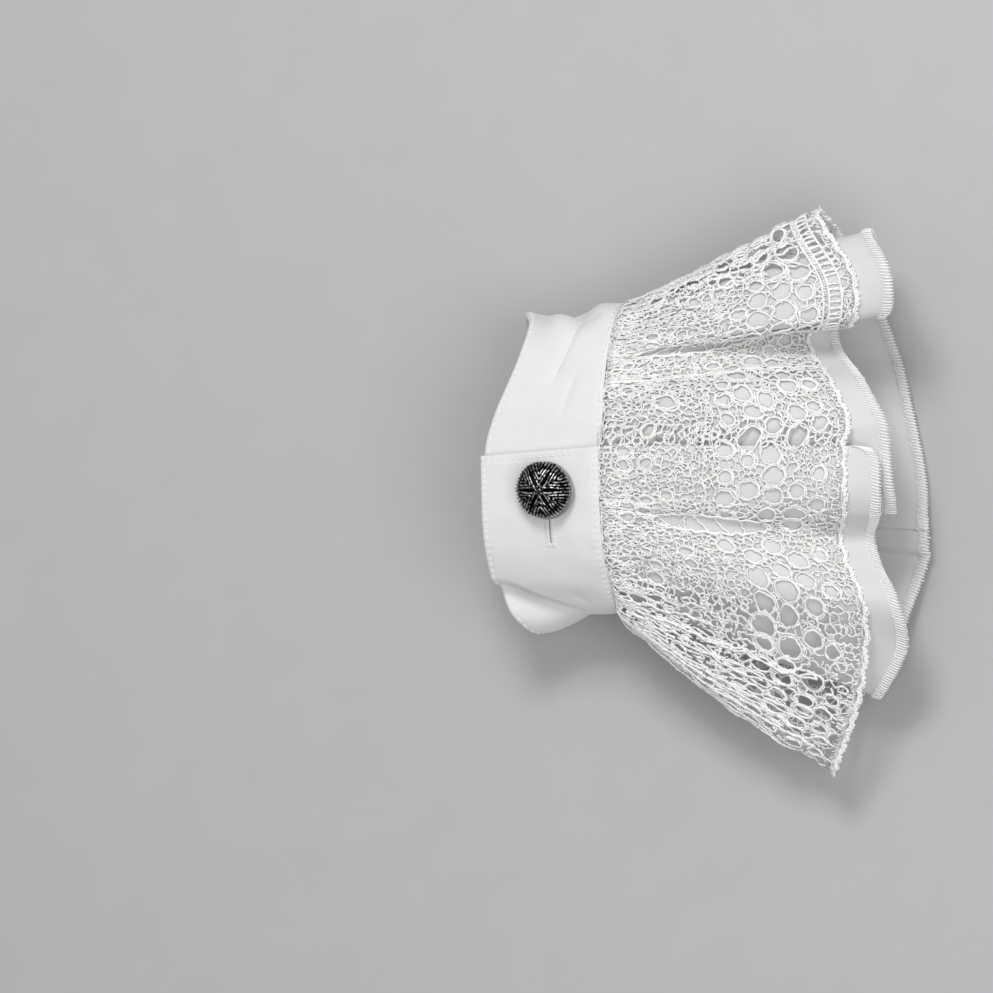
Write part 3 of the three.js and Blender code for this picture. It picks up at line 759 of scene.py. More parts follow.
def edge_round(distance, radius):
    """How much of its thickness a folded edge has at some distance in from the fold."""
    inward = 1 - clamp01(distance / radius)
    return np.sqrt(np.maximum(1 - inward**2, 0.05))


# Lengths on the band: from its ends to their topstitching, how deep and how wide that stitching draws the
# cloth in, and how far the random waves of the cloth rise
END_MARGIN = 2 * MM
STITCH_DRAW = 0.16 * MM
STITCH_DRAW_HALF = 0.5 * MM
PUCKER = 0.05 * MM
PUCKER_HALF = 1.4 * MM
BAND_WAVES = 0.10 * MM
# The foot of a crease is rounded over this length, and it runs out over this share past its middle
CREASE_FOOT = 0.7 * MM
CREASE_REACH = 0.62
# How far along the band the slit stands open at the shank, and how far beside it the cloth gives way
SLIT_OPENING = 3.5 * MM
SLIT_GIVE = 2 * MM


def beside(distance, half):
    return np.exp(-(distance / half) ** 2 / 2)


class BandCloth:
    """The band's surface with its creases, its stitched edges and its buttonhole's slit."""

    def __init__(self, form, sizes, button, thread):
        self.form = form
        self.span = form.strip_share * form.loop
        self.sizes = sizes
        self.thread = thread
        self.edge_lines = (thread.back_margin, sizes.band_length - thread.mouth_margin)
        self.end_lines = (END_MARGIN, self.span - END_MARGIN)
        self.ripples = Ripples(np.random.default_rng(3), 9 * MM, 26 * MM)
        self.hole_start = button.from_end - button.shank_from_hole_end
        self.hole_end = self.hole_start + button.hole_length
        self.shank = button.from_end
        self.hole_half = button.hole_width / 2
        self.hole_across = button.along
        self.bulge = button.shank_diameter / 2 - self.hole_half
        ends = (0, self.hole_start, self.hole_end, self.span)
        edges = (0, button.along, sizes.band_length)
        columns = graded(self.span, 0.55 * MM, 0.3 * MM, ends, 3 * MM, (self.hole_start, self.hole_end))
        sides = (button.along - self.hole_half, button.along + self.hole_half)
        rows = graded(sizes.band_length, 0.7 * MM, 0.3 * MM, edges, 4.5 * MM, sides)
        borders = ((columns, self.hole_start), (columns, self.hole_end), (rows, sides[0]), (rows, sides[1]))
        self.hole = tuple(int(np.argmin(np.abs(places - border))) for places, border in borders)
        self.sheet = Sheet.sample(self.surface, columns, rows, self.relief)

    def surface(self, run, x):
        x = self.opened(run, x)
        return self.form.band(run / self.span, x / self.sizes.band_length)

    def opened(self, run, x):
        """The slit stands open where the shank goes through it."""
        off = x - self.hole_across
        open_here = self.bulge * bump(run - self.shank, SLIT_OPENING)
        wide = open_here * np.exp(-(np.abs(off) - self.hole_half) / SLIT_GIVE)
        inside = (run >= self.hole_start - MM) & (run <= self.hole_end + MM)
        return x + np.where(inside, np.sign(off) * np.minimum(wide, self.bulge), 0)

    def relief(self, run, x):
        height = BAND_WAVES * self.ripples(run, x)
        for line in self.edge_lines:
            pucker = PUCKER * beside(x - line, PUCKER_HALF) * np.cos(TURN * run / self.thread.stitch)
            height -= STITCH_DRAW * beside(x - line, STITCH_DRAW_HALF) + pucker
        for line in self.end_lines:
            height -= STITCH_DRAW * beside(run - line, STITCH_DRAW_HALF)
        share_at = self.form.band_share(run / self.span, x / self.sizes.band_length)
        for row in BAND_CREASES:
            height -= self.crease(row, share_at * self.form.loop, x)
        return height

    def crease(self, row, run, x):
        """A sharp valley along a line from one point to another, running out at both its ends."""
        _, alongs, acrosses, depth, half = row
        alongs = np.array(alongs) * self.form.loop
        acrosses = np.array(acrosses) * self.sizes.band_length
        start, end = np.stack([alongs, acrosses], axis=-1)
        span = np.linalg.norm(end - start)
        ahead = (end - start) / span
        down = (run - start[0]) * ahead[0] + (x - start[1]) * ahead[1]
        off = (run - start[0]) * ahead[1] - (x - start[1]) * ahead[0]
        part = bump(down / span - 0.5, CREASE_REACH)
        off = np.hypot(off, CREASE_FOOT) - CREASE_FOOT
        return depth * MM * part * np.exp(-np.abs(off) / (half * MM))

    def slab(self, parts):
        s = self.sizes
        points = self.sheet.points
        normals = self.sheet.normals
        run = self.sheet.columns[:, None]
        x = self.sheet.rows[None, :]
        edge = np.minimum(np.minimum(x, s.band_length - x), np.minimum(run, self.span - run))
        half = (s.band_face + s.band_lining) / 2
        middle = (s.band_face - s.band_lining) / 2
        full = half * edge_round(edge, 1.1 * MM) * (1 - 0.35 * bump(s.band_length - x, 2.2 * MM))
        faces = [points + normals * (middle + way * full)[..., None] for way in (1, -1)]
        for face in faces:
            face[..., 2] = np.maximum(face[..., 2], 0)
        add_slab(parts, *faces, (self.span, s.band_length), self.hole)


# The shares of its pitch between which a stitch lies on the cloth
STITCH_FROM = 0.10
STITCH_TO = 0.88


def add_stitches(parts, sheet, starts, ends, face, radius, bow):
    """Short straight stitches from place to place on a sheet, each dipping in at its ends."""
    t = np.linspace(0, 1, 6)
    along, down = (starts[:, None, k] + (ends - starts)[:, None, k] * t for k in (0, 1))
    lift = face + radius * (-1.2 + 2.2 * np.sin(math.pi * t) ** 0.5) + bow * np.sin(math.pi * t)
    points, normals = sheet.at(along, down, np.broadcast_to(lift, along.shape))
    add_tubes(parts, points, normals, radius, 5)


def stitch_line(start, end, pitch):
    """The two ends of each stitch along a straight line on a sheet."""
    start = np.array(start)
    end = np.array(end)
    count = int(np.linalg.norm(end - start) / pitch)
    places = np.arange(count)[:, None] / count
    step = (end - start) / count
    first = start + (end - start) * places
    return first + STITCH_FROM * step, first + STITCH_TO * step


def cuff_parts(context):
    scene = context.scene
    sizes = scene.lace_cuff_sizes
    return CuffForm(sizes), sizes, scene.lace_cuff_button, scene.lace_cuff_threads, scene.lace_cuff_colours


def ridden(piece):
    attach(piece, "root")
    return piece


def dressed(parts, name, material, node):
    """A piece that is seen in place of a CAD node."""
    piece = ridden(parts.build(name, material))
    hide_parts(node)
    return piece


class LACECUFF_OT_band(bpy.types.Operator):
    """Adds the cuff's band: creased cotton with topstitched edges and a slit for the button"""

    bl_idname = "lace_cuff.add_band"
    bl_label = "Add Band"

    def execute(self, context):
        form, sizes, button, thread, colours = cuff_parts(context)
        cloth = BandCloth(form, sizes, button, thread)
        parts = MeshParts()
        cloth.slab(parts)
        cotton = woven_cotton("Bleached cotton poplin", colours.cotton_light, colours.cotton_dark,
                              spacing_mm=0.28, relief_mm=0.02)
        dressed(parts, "band_cotton", cotton, "cuff_band")

        sewing = MeshParts()
        face = sizes.band_face
        radius = thread.sewing / 2
        low, high = cloth.edge_lines
        first, last = cloth.end_lines
        lines = [((first, across), (last, across)) for across in (low, high)]
        lines += [((along, low), (along, high)) for along in (first, last)]
        for start, end in lines:
            starts, ends = stitch_line(start, end, thread.stitch)
            add_stitches(sewing, cloth.sheet, starts, ends, face, radius, 0.05 * MM)
        self.bind_hole(sewing, cloth, face, radius)
        cord = twisted_cotton("Polished sewing cotton", colours, twist_mm=0.3, relief_mm=0.03)
        ridden(sewing.build("band_stitching", cord))
        return {"FINISHED"}

    def bind_hole(self, sewing, cloth, face, radius):
        """Close zigzag stitches down both sides of the slit and a bar across each of its ends."""
        rng = np.random.default_rng(11)
        pitch = 0.42 * MM
        reach = 1.45 * MM
        bar_half = 1.5
        bar_length = 1.2 * MM
        bars = 8
        count = int((cloth.hole_end - cloth.hole_start) / pitch)
        run = cloth.hole_start + pitch * (np.arange(count) + 0.5)
        for side in (-1, 1):
            inner = cloth.hole_across + side * (cloth.hole_half * 0.7)
            starts = np.stack([run, np.full(count, inner)], axis=-1)
            ends = starts + np.stack([rng.normal(0.1, 0.06, count) * MM,
                                      side * (reach + rng.normal(0, 0.07, count) * MM)], axis=-1)
            add_stitches(sewing, cloth.sheet, starts, ends, face, radius, 0.12 * MM)
        for end, way in ((cloth.hole_start, -1), (cloth.hole_end, 1)):
            across = cloth.hole_across + np.linspace(-bar_half, bar_half, bars) * MM
            starts = np.stack([np.full(bars, end - way * 0.3 * MM), across], axis=-1)
            reaches = [way * np.full(bars, bar_length), rng.normal(0, 0.05, bars) * MM]
            ends = starts + np.stack(reaches, axis=-1)
            add_stitches(sewing, cloth.sheet, starts, ends, face, radius, 0.15 * MM)


def button_place(form, sizes, button):
    """Where the button stands on the band: its seat, the way out, and two ways across it."""
    share_at = np.array(button.from_end / form.loop)
    seat = form.strip(share_at, button.along, sizes.band_wall / 2)
    ny, nz = form.section_normal(share_at)
    out = np.array([0.0, float(ny), float(nz)])
    across = np.array([1.0, 0.0, 0.0])
    return seat, out, across, np.cross(out, across)


# The cap is cast in six fields of nested strands. Its rim has a rounded corner for each, with flats that
# lie in by a share of the radius. The powers say how flat the dome is on top and how round at its rim.
BUTTON_FIELDS = 6
BUTTON_STRANDS = 4
LOBE_DEPTH = 0.035
DOME_TOP = 2.3
DOME_RIM = 0.62


def lobe_edge(theta, radius):
    """The rim of the cap: six rounded corners with a shallow flat between each two."""
    return radius * (1 - LOBE_DEPTH * (1 - np.cos(BUTTON_FIELDS * theta)) / 2)


def dome_height(part, button):
    """Height of the dome over the back at a share of its radius, rounded over at the rim."""
    part = np.minimum(part, 1.0)
    return button.rim_height + button.dome_height * (1 - part**DOME_TOP) ** DOME_RIM


class LACECUFF_OT_button(bpy.types.Operator):
    """Adds the button: a cast cap of nested chevrons on a resin back and a wound thread shank"""

    bl_idname = "lace_cuff.add_button"
    bl_label = "Add Button"

    def execute(self, context):
        form, sizes, button, _, colours = cuff_parts(context)
        seat, out, across, over = button_place(form, sizes, button)
        base = button.shank_length + button.back_thickness + sizes.layer_gap

        def place(x, y, z):
            return seat + x[..., None] * across + y[..., None] * over + z[..., None] * out

        hollow = blackened_metal("Blackened cast metal", colours.metal_dark, colours.metal_dark)
        rubbed = blackened_metal("Blackened cast metal, rubbed", colours.metal_worn, colours.metal_bright)
        resin = clouded_resin("Clouded polyester resin", colours.resin_light, colours.resin_dark)
        cord = twisted_cotton("Polished sewing cotton, shank", colours, twist_mm=0.3, relief_mm=0.03)
        body, cast, back, wound = (MeshParts() for _ in range(4))
        self.add_dome(body, button, base, place)
        self.add_strands(cast, button, base, place, out)
        self.add_beads(cast, button, base, place)
        self.add_back(back, button, place)
        self.add_shank(wound, button, sizes, place, out)
        dressed(body, "button_cap_body", hollow, "button_cap")
        dressed(cast, "button_cap_strands", rubbed, "button_cap")
        dressed(back, "button_back_resin", resin, "button_back")
        dressed(wound, "button_shank_thread", cord, "button_shank")
        return {"FINISHED"}

    def add_dome(self, parts, button, base, place):
        """The dark body under the strands, turned from its rim to its top."""
        radius = button.diameter / 2
        theta = TURN * np.arange(72) / 72
        profile = [(0.90, 0.0), (0.965, 0.25), (0.97, 0.7)]
        rim_share = 0.95
        drop = 0.55 * MM
        dome = np.linspace(rim_share, 0.02, 16)
        part = np.concatenate([[out for out, _ in profile], dome])
        rim = [up * button.rim_height for _, up in profile]
        height = np.concatenate([rim, dome_height(dome, button) - drop])
        around = lobe_edge(theta[:, None], radius) * part[None, :]
        from_border = np.mod(theta[:, None] * BUTTON_FIELDS / TURN + 0.5, 1) - 0.5
        groove = 0.35 * MM * np.exp(-(from_border / 0.09) ** 2)
        z = base + height[None, :] - groove * (part[None, :] < rim_share)
        points = place(around * np.cos(theta[:, None]), around * np.sin(theta[:, None]), z)
        add_turned(parts, points)

    def add_strands(self, parts, button, base, place, out):
        """Six fields of nested strands, each springing from its field's middle and running to the rim."""
        paths = []
        for field in range(BUTTON_FIELDS):
            for side in (-1, 1):
                for k in range(BUTTON_STRANDS):
                    r, theta, z = self.strand((field + 0.5) * TURN / BUTTON_FIELDS, side, k, button)
                    paths.append(place(r * np.cos(theta), r * np.sin(theta), base + z))
        paths = np.stack(paths)
        normals = np.broadcast_to(out, paths.shape).copy()
        middle = place(np.zeros(1), np.zeros(1), np.full(1, base))
        normals += 60 * (paths - middle)
        add_tubes(parts, paths, unit(normals), button.strand / 2, 8)

    def strand(self, middle, side, k, button):
        """One strand over the dome and down the rim, bending away from the middle of its field."""
        radius = button.diameter / 2
        start = radius * (0.15 + 0.78 * (k / BUTTON_STRANDS) ** 0.9)
        edge = math.pi / BUTTON_FIELDS * (1 - (k + 0.42) / BUTTON_STRANDS)
        t = np.linspace(0, 1, 18)
        theta = middle + side * edge * (1 - (1 - t) ** 2) ** 0.75
        r = np.minimum(start + (radius - start) * t, lobe_edge(theta, radius) * 0.985)
        z = dome_height(np.minimum(r / radius, 0.97), button) - 0.05 * MM
        wrap = np.array([(1.0, 0.75), (0.99, 0.40), (0.95, 0.12)])
        end_r = lobe_edge(theta[-1], radius) * wrap[:, 0]
        end_z = button.rim_height * wrap[:, 1]
        theta = np.concatenate([theta, np.full(len(wrap), theta[-1])])
        return np.concatenate([r, end_r]), theta, np.concatenate([z, end_z])

    def add_beads(self, parts, button, base, place):
        """A large bead on the middle of the cap, in a ring of small ones."""
        top = base + dome_height(np.array(0.0), button)
        ring = 1.15
        spots = [(0.0, 0.0, 0.75)]
        for k in range(BUTTON_FIELDS):
            turn = k * TURN / BUTTON_FIELDS
            spots.append((ring * math.cos(turn), ring * math.sin(turn), 0.38))
        for x, y, size in spots:
            theta = TURN * np.arange(14)[:, None] / 14
            rise = np.linspace(-0.5, 0.97, 8)[None, :] * math.pi / 2
            points = place(x * MM + size * MM * np.cos(rise) * np.cos(theta),
                           y * MM + size * MM * np.cos(rise) * np.sin(theta),
                           top + (size * 0.55 * np.sin(rise) - 0.10) * MM + 0 * theta)
            add_turned(parts, points)

    def add_back(self, parts, button, place):
        """A disc of resin with a rounded, slightly uneven edge, a little off the cap's middle."""
        rng = np.random.default_rng(5)
        uneven = rng.uniform(-1, 1, 4)
        theta = TURN * np.arange(96)[:, None] / 96
        wobble = sum(uneven[k] * np.cos((k + 2) * theta + k) for k in range(4)) * 0.008
        part = np.array([0.55, 0.93, 0.98, 1.0, 0.98, 0.93, 0.55])[None, :]
        z = np.array([0.0, 0.0, 0.2, 0.5, 0.8, 1.0, 1.0])[None, :] * button.back_thickness
        r = button.back_diameter / 2 * part * (1 + wobble)
        x, y = r * np.cos(theta) + 0.35 * MM, r * np.sin(theta) - 0.45 * MM
        points = place(x, y, button.shank_length + z + 0 * theta)
        add_turned(parts, points)

    def add_shank(self, parts, button, sizes, place, out):
        """Thread wound round the stitches that hold the button, down through the slit."""
        turns = 9
        thread = 0.22 * MM
        t = np.linspace(0, 1, turns * 12)
        low = -sizes.band_wall - sizes.layer_gap
        z = low + (button.shank_length + 0.1 * MM - low) * t
        r = button.shank_diameter / 2 - 0.2 * MM
        points = place(r * np.cos(TURN * turns * t), r * np.sin(TURN * turns * t), z)[None]
        add_tubes(parts, points, np.broadcast_to(out, points.shape), thread, 6)
        theta = TURN * np.arange(12)[:, None] / 12
        core = place(r * np.cos(theta) + np.zeros((1, 2)), r * np.sin(theta) + np.zeros((1, 2)),
                     np.array([[low, button.shank_length]]) + 0 * theta)
        add_turned(parts, core)


def add_turned(parts, points):
    """A closed body of rings, given as points by angle and then by ring, with flat ends."""
    around, rings = points.shape[:2]
    i, j = np.meshgrid(np.arange(around), np.arange(rings - 1), indexing="ij")

    def at(place, ring):
        return place * rings + ring

    faces = quads(at, i, j, (i + 1) % around, j + 1)
    uvs = np.stack([i, j], axis=-1).reshape(-1, 1, 2) * MM + np.zeros((1, 4, 2))
    middles = np.stack([points[:, 0].mean(axis=0), points[:, -1].mean(axis=0)])
    start = parts.count
    parts.add(np.concatenate([points.reshape(-1, 3), middles]), faces, uvs)
    place = np.arange(around)
    following = (place + 1) % around
    middle = np.full(around, around * rings)
    first = np.stack([at(following, 0), at(place, 0), middle], axis=-1)
    last = np.stack([at(place, rings - 1), at(following, rings - 1), middle + 1], axis=-1)
    for fan in (first, last):
        parts.add_more(fan, np.zeros((around, 3, 2)), start)


# Random folds of the ruffles, in millimetres of height: fine gathers, which run out over a share of the
# depth, and broad slack. The seam holds all of them flat over its own share.
GATHER_HEIGHT = 0.28
GATHER_REACH = 0.6
SLACK_HEIGHT = 0.25
SEAM_HOLD = 0.06
# The lace's own slack, in millimetres: on the cotton, and how much more where it is free
LACE_SLACK = 0.12
LACE_FREE_SLACK = 0.75
# The flat pleat in the far cloth: the share of the loop where it is folded, and in millimetres how far its
# two folds lie from there, how thick a layer is, how soon the upper one comes down, and the columns' step
PLEAT = {"along": 0.443, "under": 1.6, "over": 1.2, "layer": 0.55, "fall": 13, "column": 0.75}
PLEAT_TURN = ((0.15, 0.12), (0.20, 0.27), (0.15, 0.43))
# The turned hem of the cotton
HEM_DEPTH = 3.0 * MM
# One loop of the overlock's thread: along the hem in pitches, in from the hem in widths, and off the middle
# of the cloth in lifts. Points 4 and 5 lie past the hem, where the loop may hang loose.
OVERLOCK_LOOP = (
    (0.0, 1.0, 0.85), (0.2, 0.66, 1.15), (0.4, 0.33, 1.1), (0.55, 0.05, 1.0), (0.62, -0.13, 0.45),
    (0.66, -0.16, -0.3), (0.75, 0.03, -1.0), (0.9, 0.33, -1.1), (1.05, 0.66, -1.15), (1.2, 1.0, -0.85),
)


class RuffleCloth:
    """The cotton ruffle's surface and the lace's, which lies on it and shares its slack."""

    def __init__(self, form, sizes):
        self.form = form
        self.sizes = sizes
        rng = np.random.default_rng(21)
        self.gathers = Ripples(rng, 5 * MM, 9 * MM, 10, stretch=9.0)
        self.slack = Ripples(rng, 18 * MM, 40 * MM, 12, stretch=1.6)
        self.lace_slack = Ripples(rng, 9 * MM, 22 * MM, 12, stretch=1.3)

    def cotton_relief(self, share_at, depth):
        s = self.sizes
        run = share_at * self.form.hem_length
        down = depth * s.ruffle_depth
        near_seam = 1 - smooth(clamp01(depth / GATHER_REACH))
        held = smooth(clamp01(depth / SEAM_HOLD))
        puff = s.seam_rise * bump(down, s.seam_fade)
        # The puff starts from nothing, so that the band's stitching stays in sight
        puff *= smooth(clamp01((down + s.seam_tuck) / (3 * MM)))
        folds = GATHER_HEIGHT * near_seam * self.gathers(run, down) + SLACK_HEIGHT * self.slack(run, down)
        return puff + held * MM * folds

    def pleat(self):
        """Places along the hem and heights of a flat pleat laid in the far cloth: under, back and over."""
        form = self.form
        fold = form.share_where(PLEAT["along"]) * form.hem_length
        under = fold + PLEAT["under"] * MM
        layer = PLEAT["layer"] * MM
        fall = PLEAT["fall"] * MM
        column = PLEAT["column"] * MM
        turn = np.array(PLEAT_TURN) * MM
        before = graded(under, column, 0.35 * MM, (under,), 3 * MM)
        back = np.linspace(1.3, -0.9, 8) * MM + fold
        over = np.linspace(-PLEAT["over"], PLEAT["fall"], 28) * MM + fold
        rest = np.linspace(fold + fall + 0.7 * MM, form.hem_length, int((form.hem_length - fold) / column))
        run = np.concatenate([
            before, under + turn[:, 0], back, fold - PLEAT["over"] * MM - turn[:, 0], over, rest,
        ])
        height = np.concatenate([
            0 * before, turn[:, 1], 0 * back + layer, layer + turn[:, 1],
            2 * layer * (1 - smooth(clamp01((over - fold) / fall))), 0 * rest,
        ])
        return run, height

    def cotton(self):
        """The cotton's sheet, by length of cloth round the hem and by share of the depth."""
        form = self.form
        run, height = self.pleat()
        cloth_run = np.concatenate([[0], np.cumsum(np.hypot(np.diff(run), np.diff(height)))])
        margin = (HEM_DEPTH + 0.2 * MM) / self.sizes.ruffle_depth
        tuck = self.sizes.seam_tuck / self.sizes.ruffle_depth
        rows = np.concatenate([np.linspace(-tuck, 1 - margin, 41)[:-1], np.linspace(1 - margin, 1, 9)])
        share_at, depth = np.meshgrid(run / form.hem_length, rows, indexing="ij")
        corner = 6 * MM
        cut = 1 - np.sqrt(1 - clamp01(1 - run / corner)**2)
        depth = depth * (1 - cut * corner / self.sizes.ruffle_depth)[:, None]
        points = form.cloth(share_at, depth)
        normals = form.normal(form.cloth, share_at, depth)
        lift = self.cotton_relief(share_at, depth) - height[:, None]
        return Sheet(cloth_run, rows, points + normals * lift[..., None])

    def lace_end(self):
        """How far round the hem the lace goes, to a little under its own flap."""
        lap = self.sizes.lace_flap - self.sizes.flap_lap
        return self.form.share_where(1.0) * self.form.hem_length - lap

    def lace_surface(self, run, depth):
        """The lace by run round the hem. Before the cotton's end it is a flap on the layer below."""
        form = self.form
        share_at = run / form.hem_length
        top = form.lace(clamp01(share_at), depth)
        lap = form.share_where(1.0)
        below_share = lap + np.minimum(share_at, 0)
        below = form.lace(below_share, depth)
        out = form.normal(form.cloth, below_share, depth * self.sizes.lace_depth / self.sizes.ruffle_depth)
        step = form.lace(0 * share_at, depth) - form.lace(0 * share_at + lap, depth)
        near = smooth(clamp01(1 + run / self.sizes.flap_slope))[..., None]
        flap = below + step * near + out * (1 - near) * self.sizes.flap_rest
        return np.where(run[..., None] < 0, flap, top)

    def lace(self):
        """The lace's sheet, by run round the hem and by share of the lace's depth."""
        form = self.form
        ratio = self.sizes.lace_depth / self.sizes.ruffle_depth

        def relief(run, depth):
            share_at = np.where(run < 0, form.share_where(1.0), 0) + run / form.hem_length
            down = depth * self.sizes.lace_depth
            along = form.along(share_at)
            free = sum(bump(along - row["along"], row["half"]) for row in LACE_SPREADS)
            flap_end = 0.6 * bump(run + self.sizes.lace_flap, 14 * MM)
            free = np.maximum(free, flap_end)
            own = (LACE_SLACK + LACE_FREE_SLACK * free * smooth(depth)) * MM
            own *= np.abs(self.lace_slack(run, down))
            return self.cotton_relief(share_at, depth * ratio) + own

        columns = np.linspace(-self.sizes.lace_flap, self.lace_end(), 1361)
        rows = np.linspace(-self.sizes.seam_tuck / self.sizes.lace_depth, 1, 83)
        return Sheet.sample(self.lace_surface, columns, rows, relief)


class LACECUFF_OT_cotton_ruffle(bpy.types.Operator):
    """Adds the cotton ruffle: plain cloth gathered into the band, overlocked round its hem"""

    bl_idname = "lace_cuff.add_cotton_ruffle"
    bl_label = "Add Cotton Ruffle"

    def execute(self, context):
        form, sizes, _, thread, colours = cuff_parts(context)
        sheet = RuffleCloth(form, sizes).cotton()
        parts = MeshParts()
        from_hem = (1 - sheet.rows) * sizes.ruffle_depth
        turned = smooth(clamp01((HEM_DEPTH - from_hem) / (0.6 * MM)))
        thick = sizes.cloth_thickness + (sizes.hem_thickness - sizes.cloth_thickness) * turned
        half = thick / 2 * edge_round(from_hem, 0.5 * MM)
        outer = sheet.points + sheet.normals * half[None, :, None]
        inner = sheet.points - sheet.normals * half[None, :, None]
        outer[..., 2] = np.maximum(outer[..., 2], 0)
        add_slab(parts, outer, inner, (sheet.columns[-1], sizes.ruffle_depth))
        # The ruffle's cotton takes the darker colours, which are painted shade for the shadow under the
        # lace
        cotton = woven_cotton("Bleached cotton lawn, darkened as painted shade", colours.ruffle_light_painted_shade, colours.ruffle_dark_painted_shade,
                              spacing_mm=0.24, relief_mm=0.015)
        ruffle = dressed(parts, "ruffle_cotton_cloth", cotton, "ruffle_cotton")

        sewing = MeshParts()
        self.overlock(sewing, sheet, sizes, thread)
        cord = twisted_cotton("Fluffed overlock cotton", colours, twist_mm=0.5, relief_mm=0.05)
        ridden(sewing.build("ruffle_cotton_overlock", cord))
        return {"FINISHED"}

    def overlock(self, sewing, sheet, sizes, thread):
        """Slanting loops that wrap the hem, with a chain down each face where they are caught."""
        rng = np.random.default_rng(31)
        hem = np.linalg.norm(np.diff(sheet.points[:, -1], axis=0), axis=1)
        hem_run = np.concatenate([[0], np.cumsum(hem)])
        count = int(hem_run[-1] / thread.overlock_pitch)
        start = np.interp(thread.overlock_pitch * (np.arange(count) + 0.5), hem_run, sheet.columns)[:, None]
        radius = thread.overlock / 2
        lift = sizes.hem_thickness / 2 + radius * 0.8
        width = thread.overlock_width
        shape = np.array(OVERLOCK_LOOP)
        size = (count, len(shape))
        along = start + thread.overlock_pitch * (shape[:, 0] + rng.normal(0, 0.06, size))
        reach = width * (1 + rng.normal(0, 0.05, (count, 1)))
        from_hem = shape[:, 1] * reach + rng.normal(0, 0.05, size) * MM
        loose = np.maximum(0, rng.normal(-0.25, 0.3, (count, 1))) * MM
        from_hem[:, 4:6] -= loose
        height = shape[:, 2] * lift * (1 + rng.normal(0, 0.05, size))
        points, _ = sheet.at(along, 1 - from_hem / sizes.ruffle_depth, height)
        points[..., 2] = np.maximum(points[..., 2], radius)
        ahead = np.gradient(points, axis=0)
        thickness = radius * (1 + rng.normal(0, 0.1, size))
        add_tubes(sewing, points, ahead, thickness, 5)
        for side in (1, -1):
            t = np.linspace(0, 1, count * 3)
            run = sheet.columns[-1] * t
            wave = 0.22 * MM * np.sin(TURN * np.arange(count * 3) / 3 + 0.6)
            points, normals = sheet.at(run, 1 - (width + wave) / sizes.ruffle_depth,
                                       side * (lift * 0.75 + 0.5 * wave))
            add_tubes(sewing, points[None], normals[None], radius * 0.75, 4)


# The long slits in the lace over the valleys between two crests: the middle of each as a share of the loop
# and of the lace's depth, and its half lengths in millimetres.
LACE_SLITS = [
    {"name": "between B and C", "along": 0.090, "depth": 0.46, "half_run": 4.2, "half_down": 19.5},
    {"name": "between A and B", "along": 0.883, "depth": 0.47, "half_run": 6.5, "half_down": 29.0},
]

# Rows of round holes: millimetres down from the seam, the share of places that hold a hole, and its size
# as a share between the least and the largest hole. The places stand HOLE_SPACING apart.
LACE_HOLE_ROWS = [
    (8.0, 0.35, 0.0), (14.5, 0.25, 0.0), (21.0, 0.20, 0.0), (27.5, 0.25, 0.0),
    (41.0, 0.80, 0.35), (48.4, 0.92, 0.55), (56.0, 0.92, 0.70), (63.6, 0.88, 0.55),
    (70.6, 0.55, 0.05),
]
HOLE_SPACING = 8.3
# The small meshes between them, the largest first: how many are tried and their radii in millimetres
LACE_MESHES = [
    (9000, 1.0, 1.25),
    (16000, 0.75, 1.0),
    (30000, 0.5, 0.7),
]
# A site of the net with a larger radius is a round hole, with a corded rim
ROUND_HOLE = 1.4
# The room between the sites is kept on a grid of this step, with some cells before place 0
ROOM_STEP = 0.2
ROOM_MARGIN = 5
# Millimetres down the lace: the net's start and end, where its two pieces meet, the long cord and the cord
# at the edge, with the length and rise of its scallops
LACE_NET_START = -1.4
LACE_NET_END = 77.4
LACE_NET_SPLIT = 34.5
LACE_CORD = 34.6
LACE_BORDER = 78.3
LACE_SCALLOP = 6.6
SCALLOP_RISE = 0.75
# The ladder over the upper crest, as shares of the loop. Its rungs are between the last two cords.
LADDER_ENDS = (0.765, 0.875)
LADDER_CORDS = (68.8, 70.6, 74.6)
# Strands down the lace: how many, between which places, and whether they are wide ones where it spreads
LACE_RUNNERS = [
    (230, -1.0, 26.0, False),
    (52, 2.0, 76.0, True),
]
# The waves of such a strand: their length and how far they sway
RUNNER_WAVES = ((4.5, 0.35), (9.0, 0.7), (21.0, 1.2))
# The rounds of cord about a hole: the share of holes that have it, how far outside the hole and above the
# lace it lies, and its thickness as a share of the thick thread's
HOLE_ROUNDS = ((1.0, 0.05, 0.10, 1.15), (0.75, 0.62, 0.12, 0.80), (0.25, 1.15, 0.02, 0.75))
# Points of a long thread stand this far apart. It is drawn in pieces, so that some can be left out.
POINT_STEP = 0.5
CORD_PIECE = 12
RUNNER_PIECE = 6
FLUFF_TRIES = 5600


def site_triangles(sites):
    """Triangles between neighbouring sites, as rows of three site numbers."""
    flat = [Vector((run, down)) for run, down, _ in sites]
    found = delaunay_2d_cdt(flat, [], [], 0, 1e-5)
    order = np.array([numbers[0] for numbers in found[3]])
    return order[np.array([face for face in found[2] if len(face) == 3])]


def equal_places(sites, faces):
    """For each triangle the place equally far from its three round sites, or its middle if that is far."""
    p = sites[faces, :2]
    power = np.sum(p**2, axis=2) - sites[faces, 2]**2
    sides = 2 * (p[:, 1:] - p[:, :1])
    level = power[:, 1:] - power[:, :1]
    area = sides[:, 0, 0] * sides[:, 1, 1] - sides[:, 0, 1] * sides[:, 1, 0]
    area = np.where(np.abs(area) < 1e-6, 1e-6, area)
    x = (level[:, 0] * sides[:, 1, 1] - level[:, 1] * sides[:, 0, 1]) / area
    y = (sides[:, 0, 0] * level[:, 1] - sides[:, 1, 0] * level[:, 0]) / area
    places = np.stack([x, y], axis=-1)
    middle = p.mean(axis=1)
    return np.where(np.linalg.norm(places - middle, axis=1, keepdims=True) > 3, middle, places)


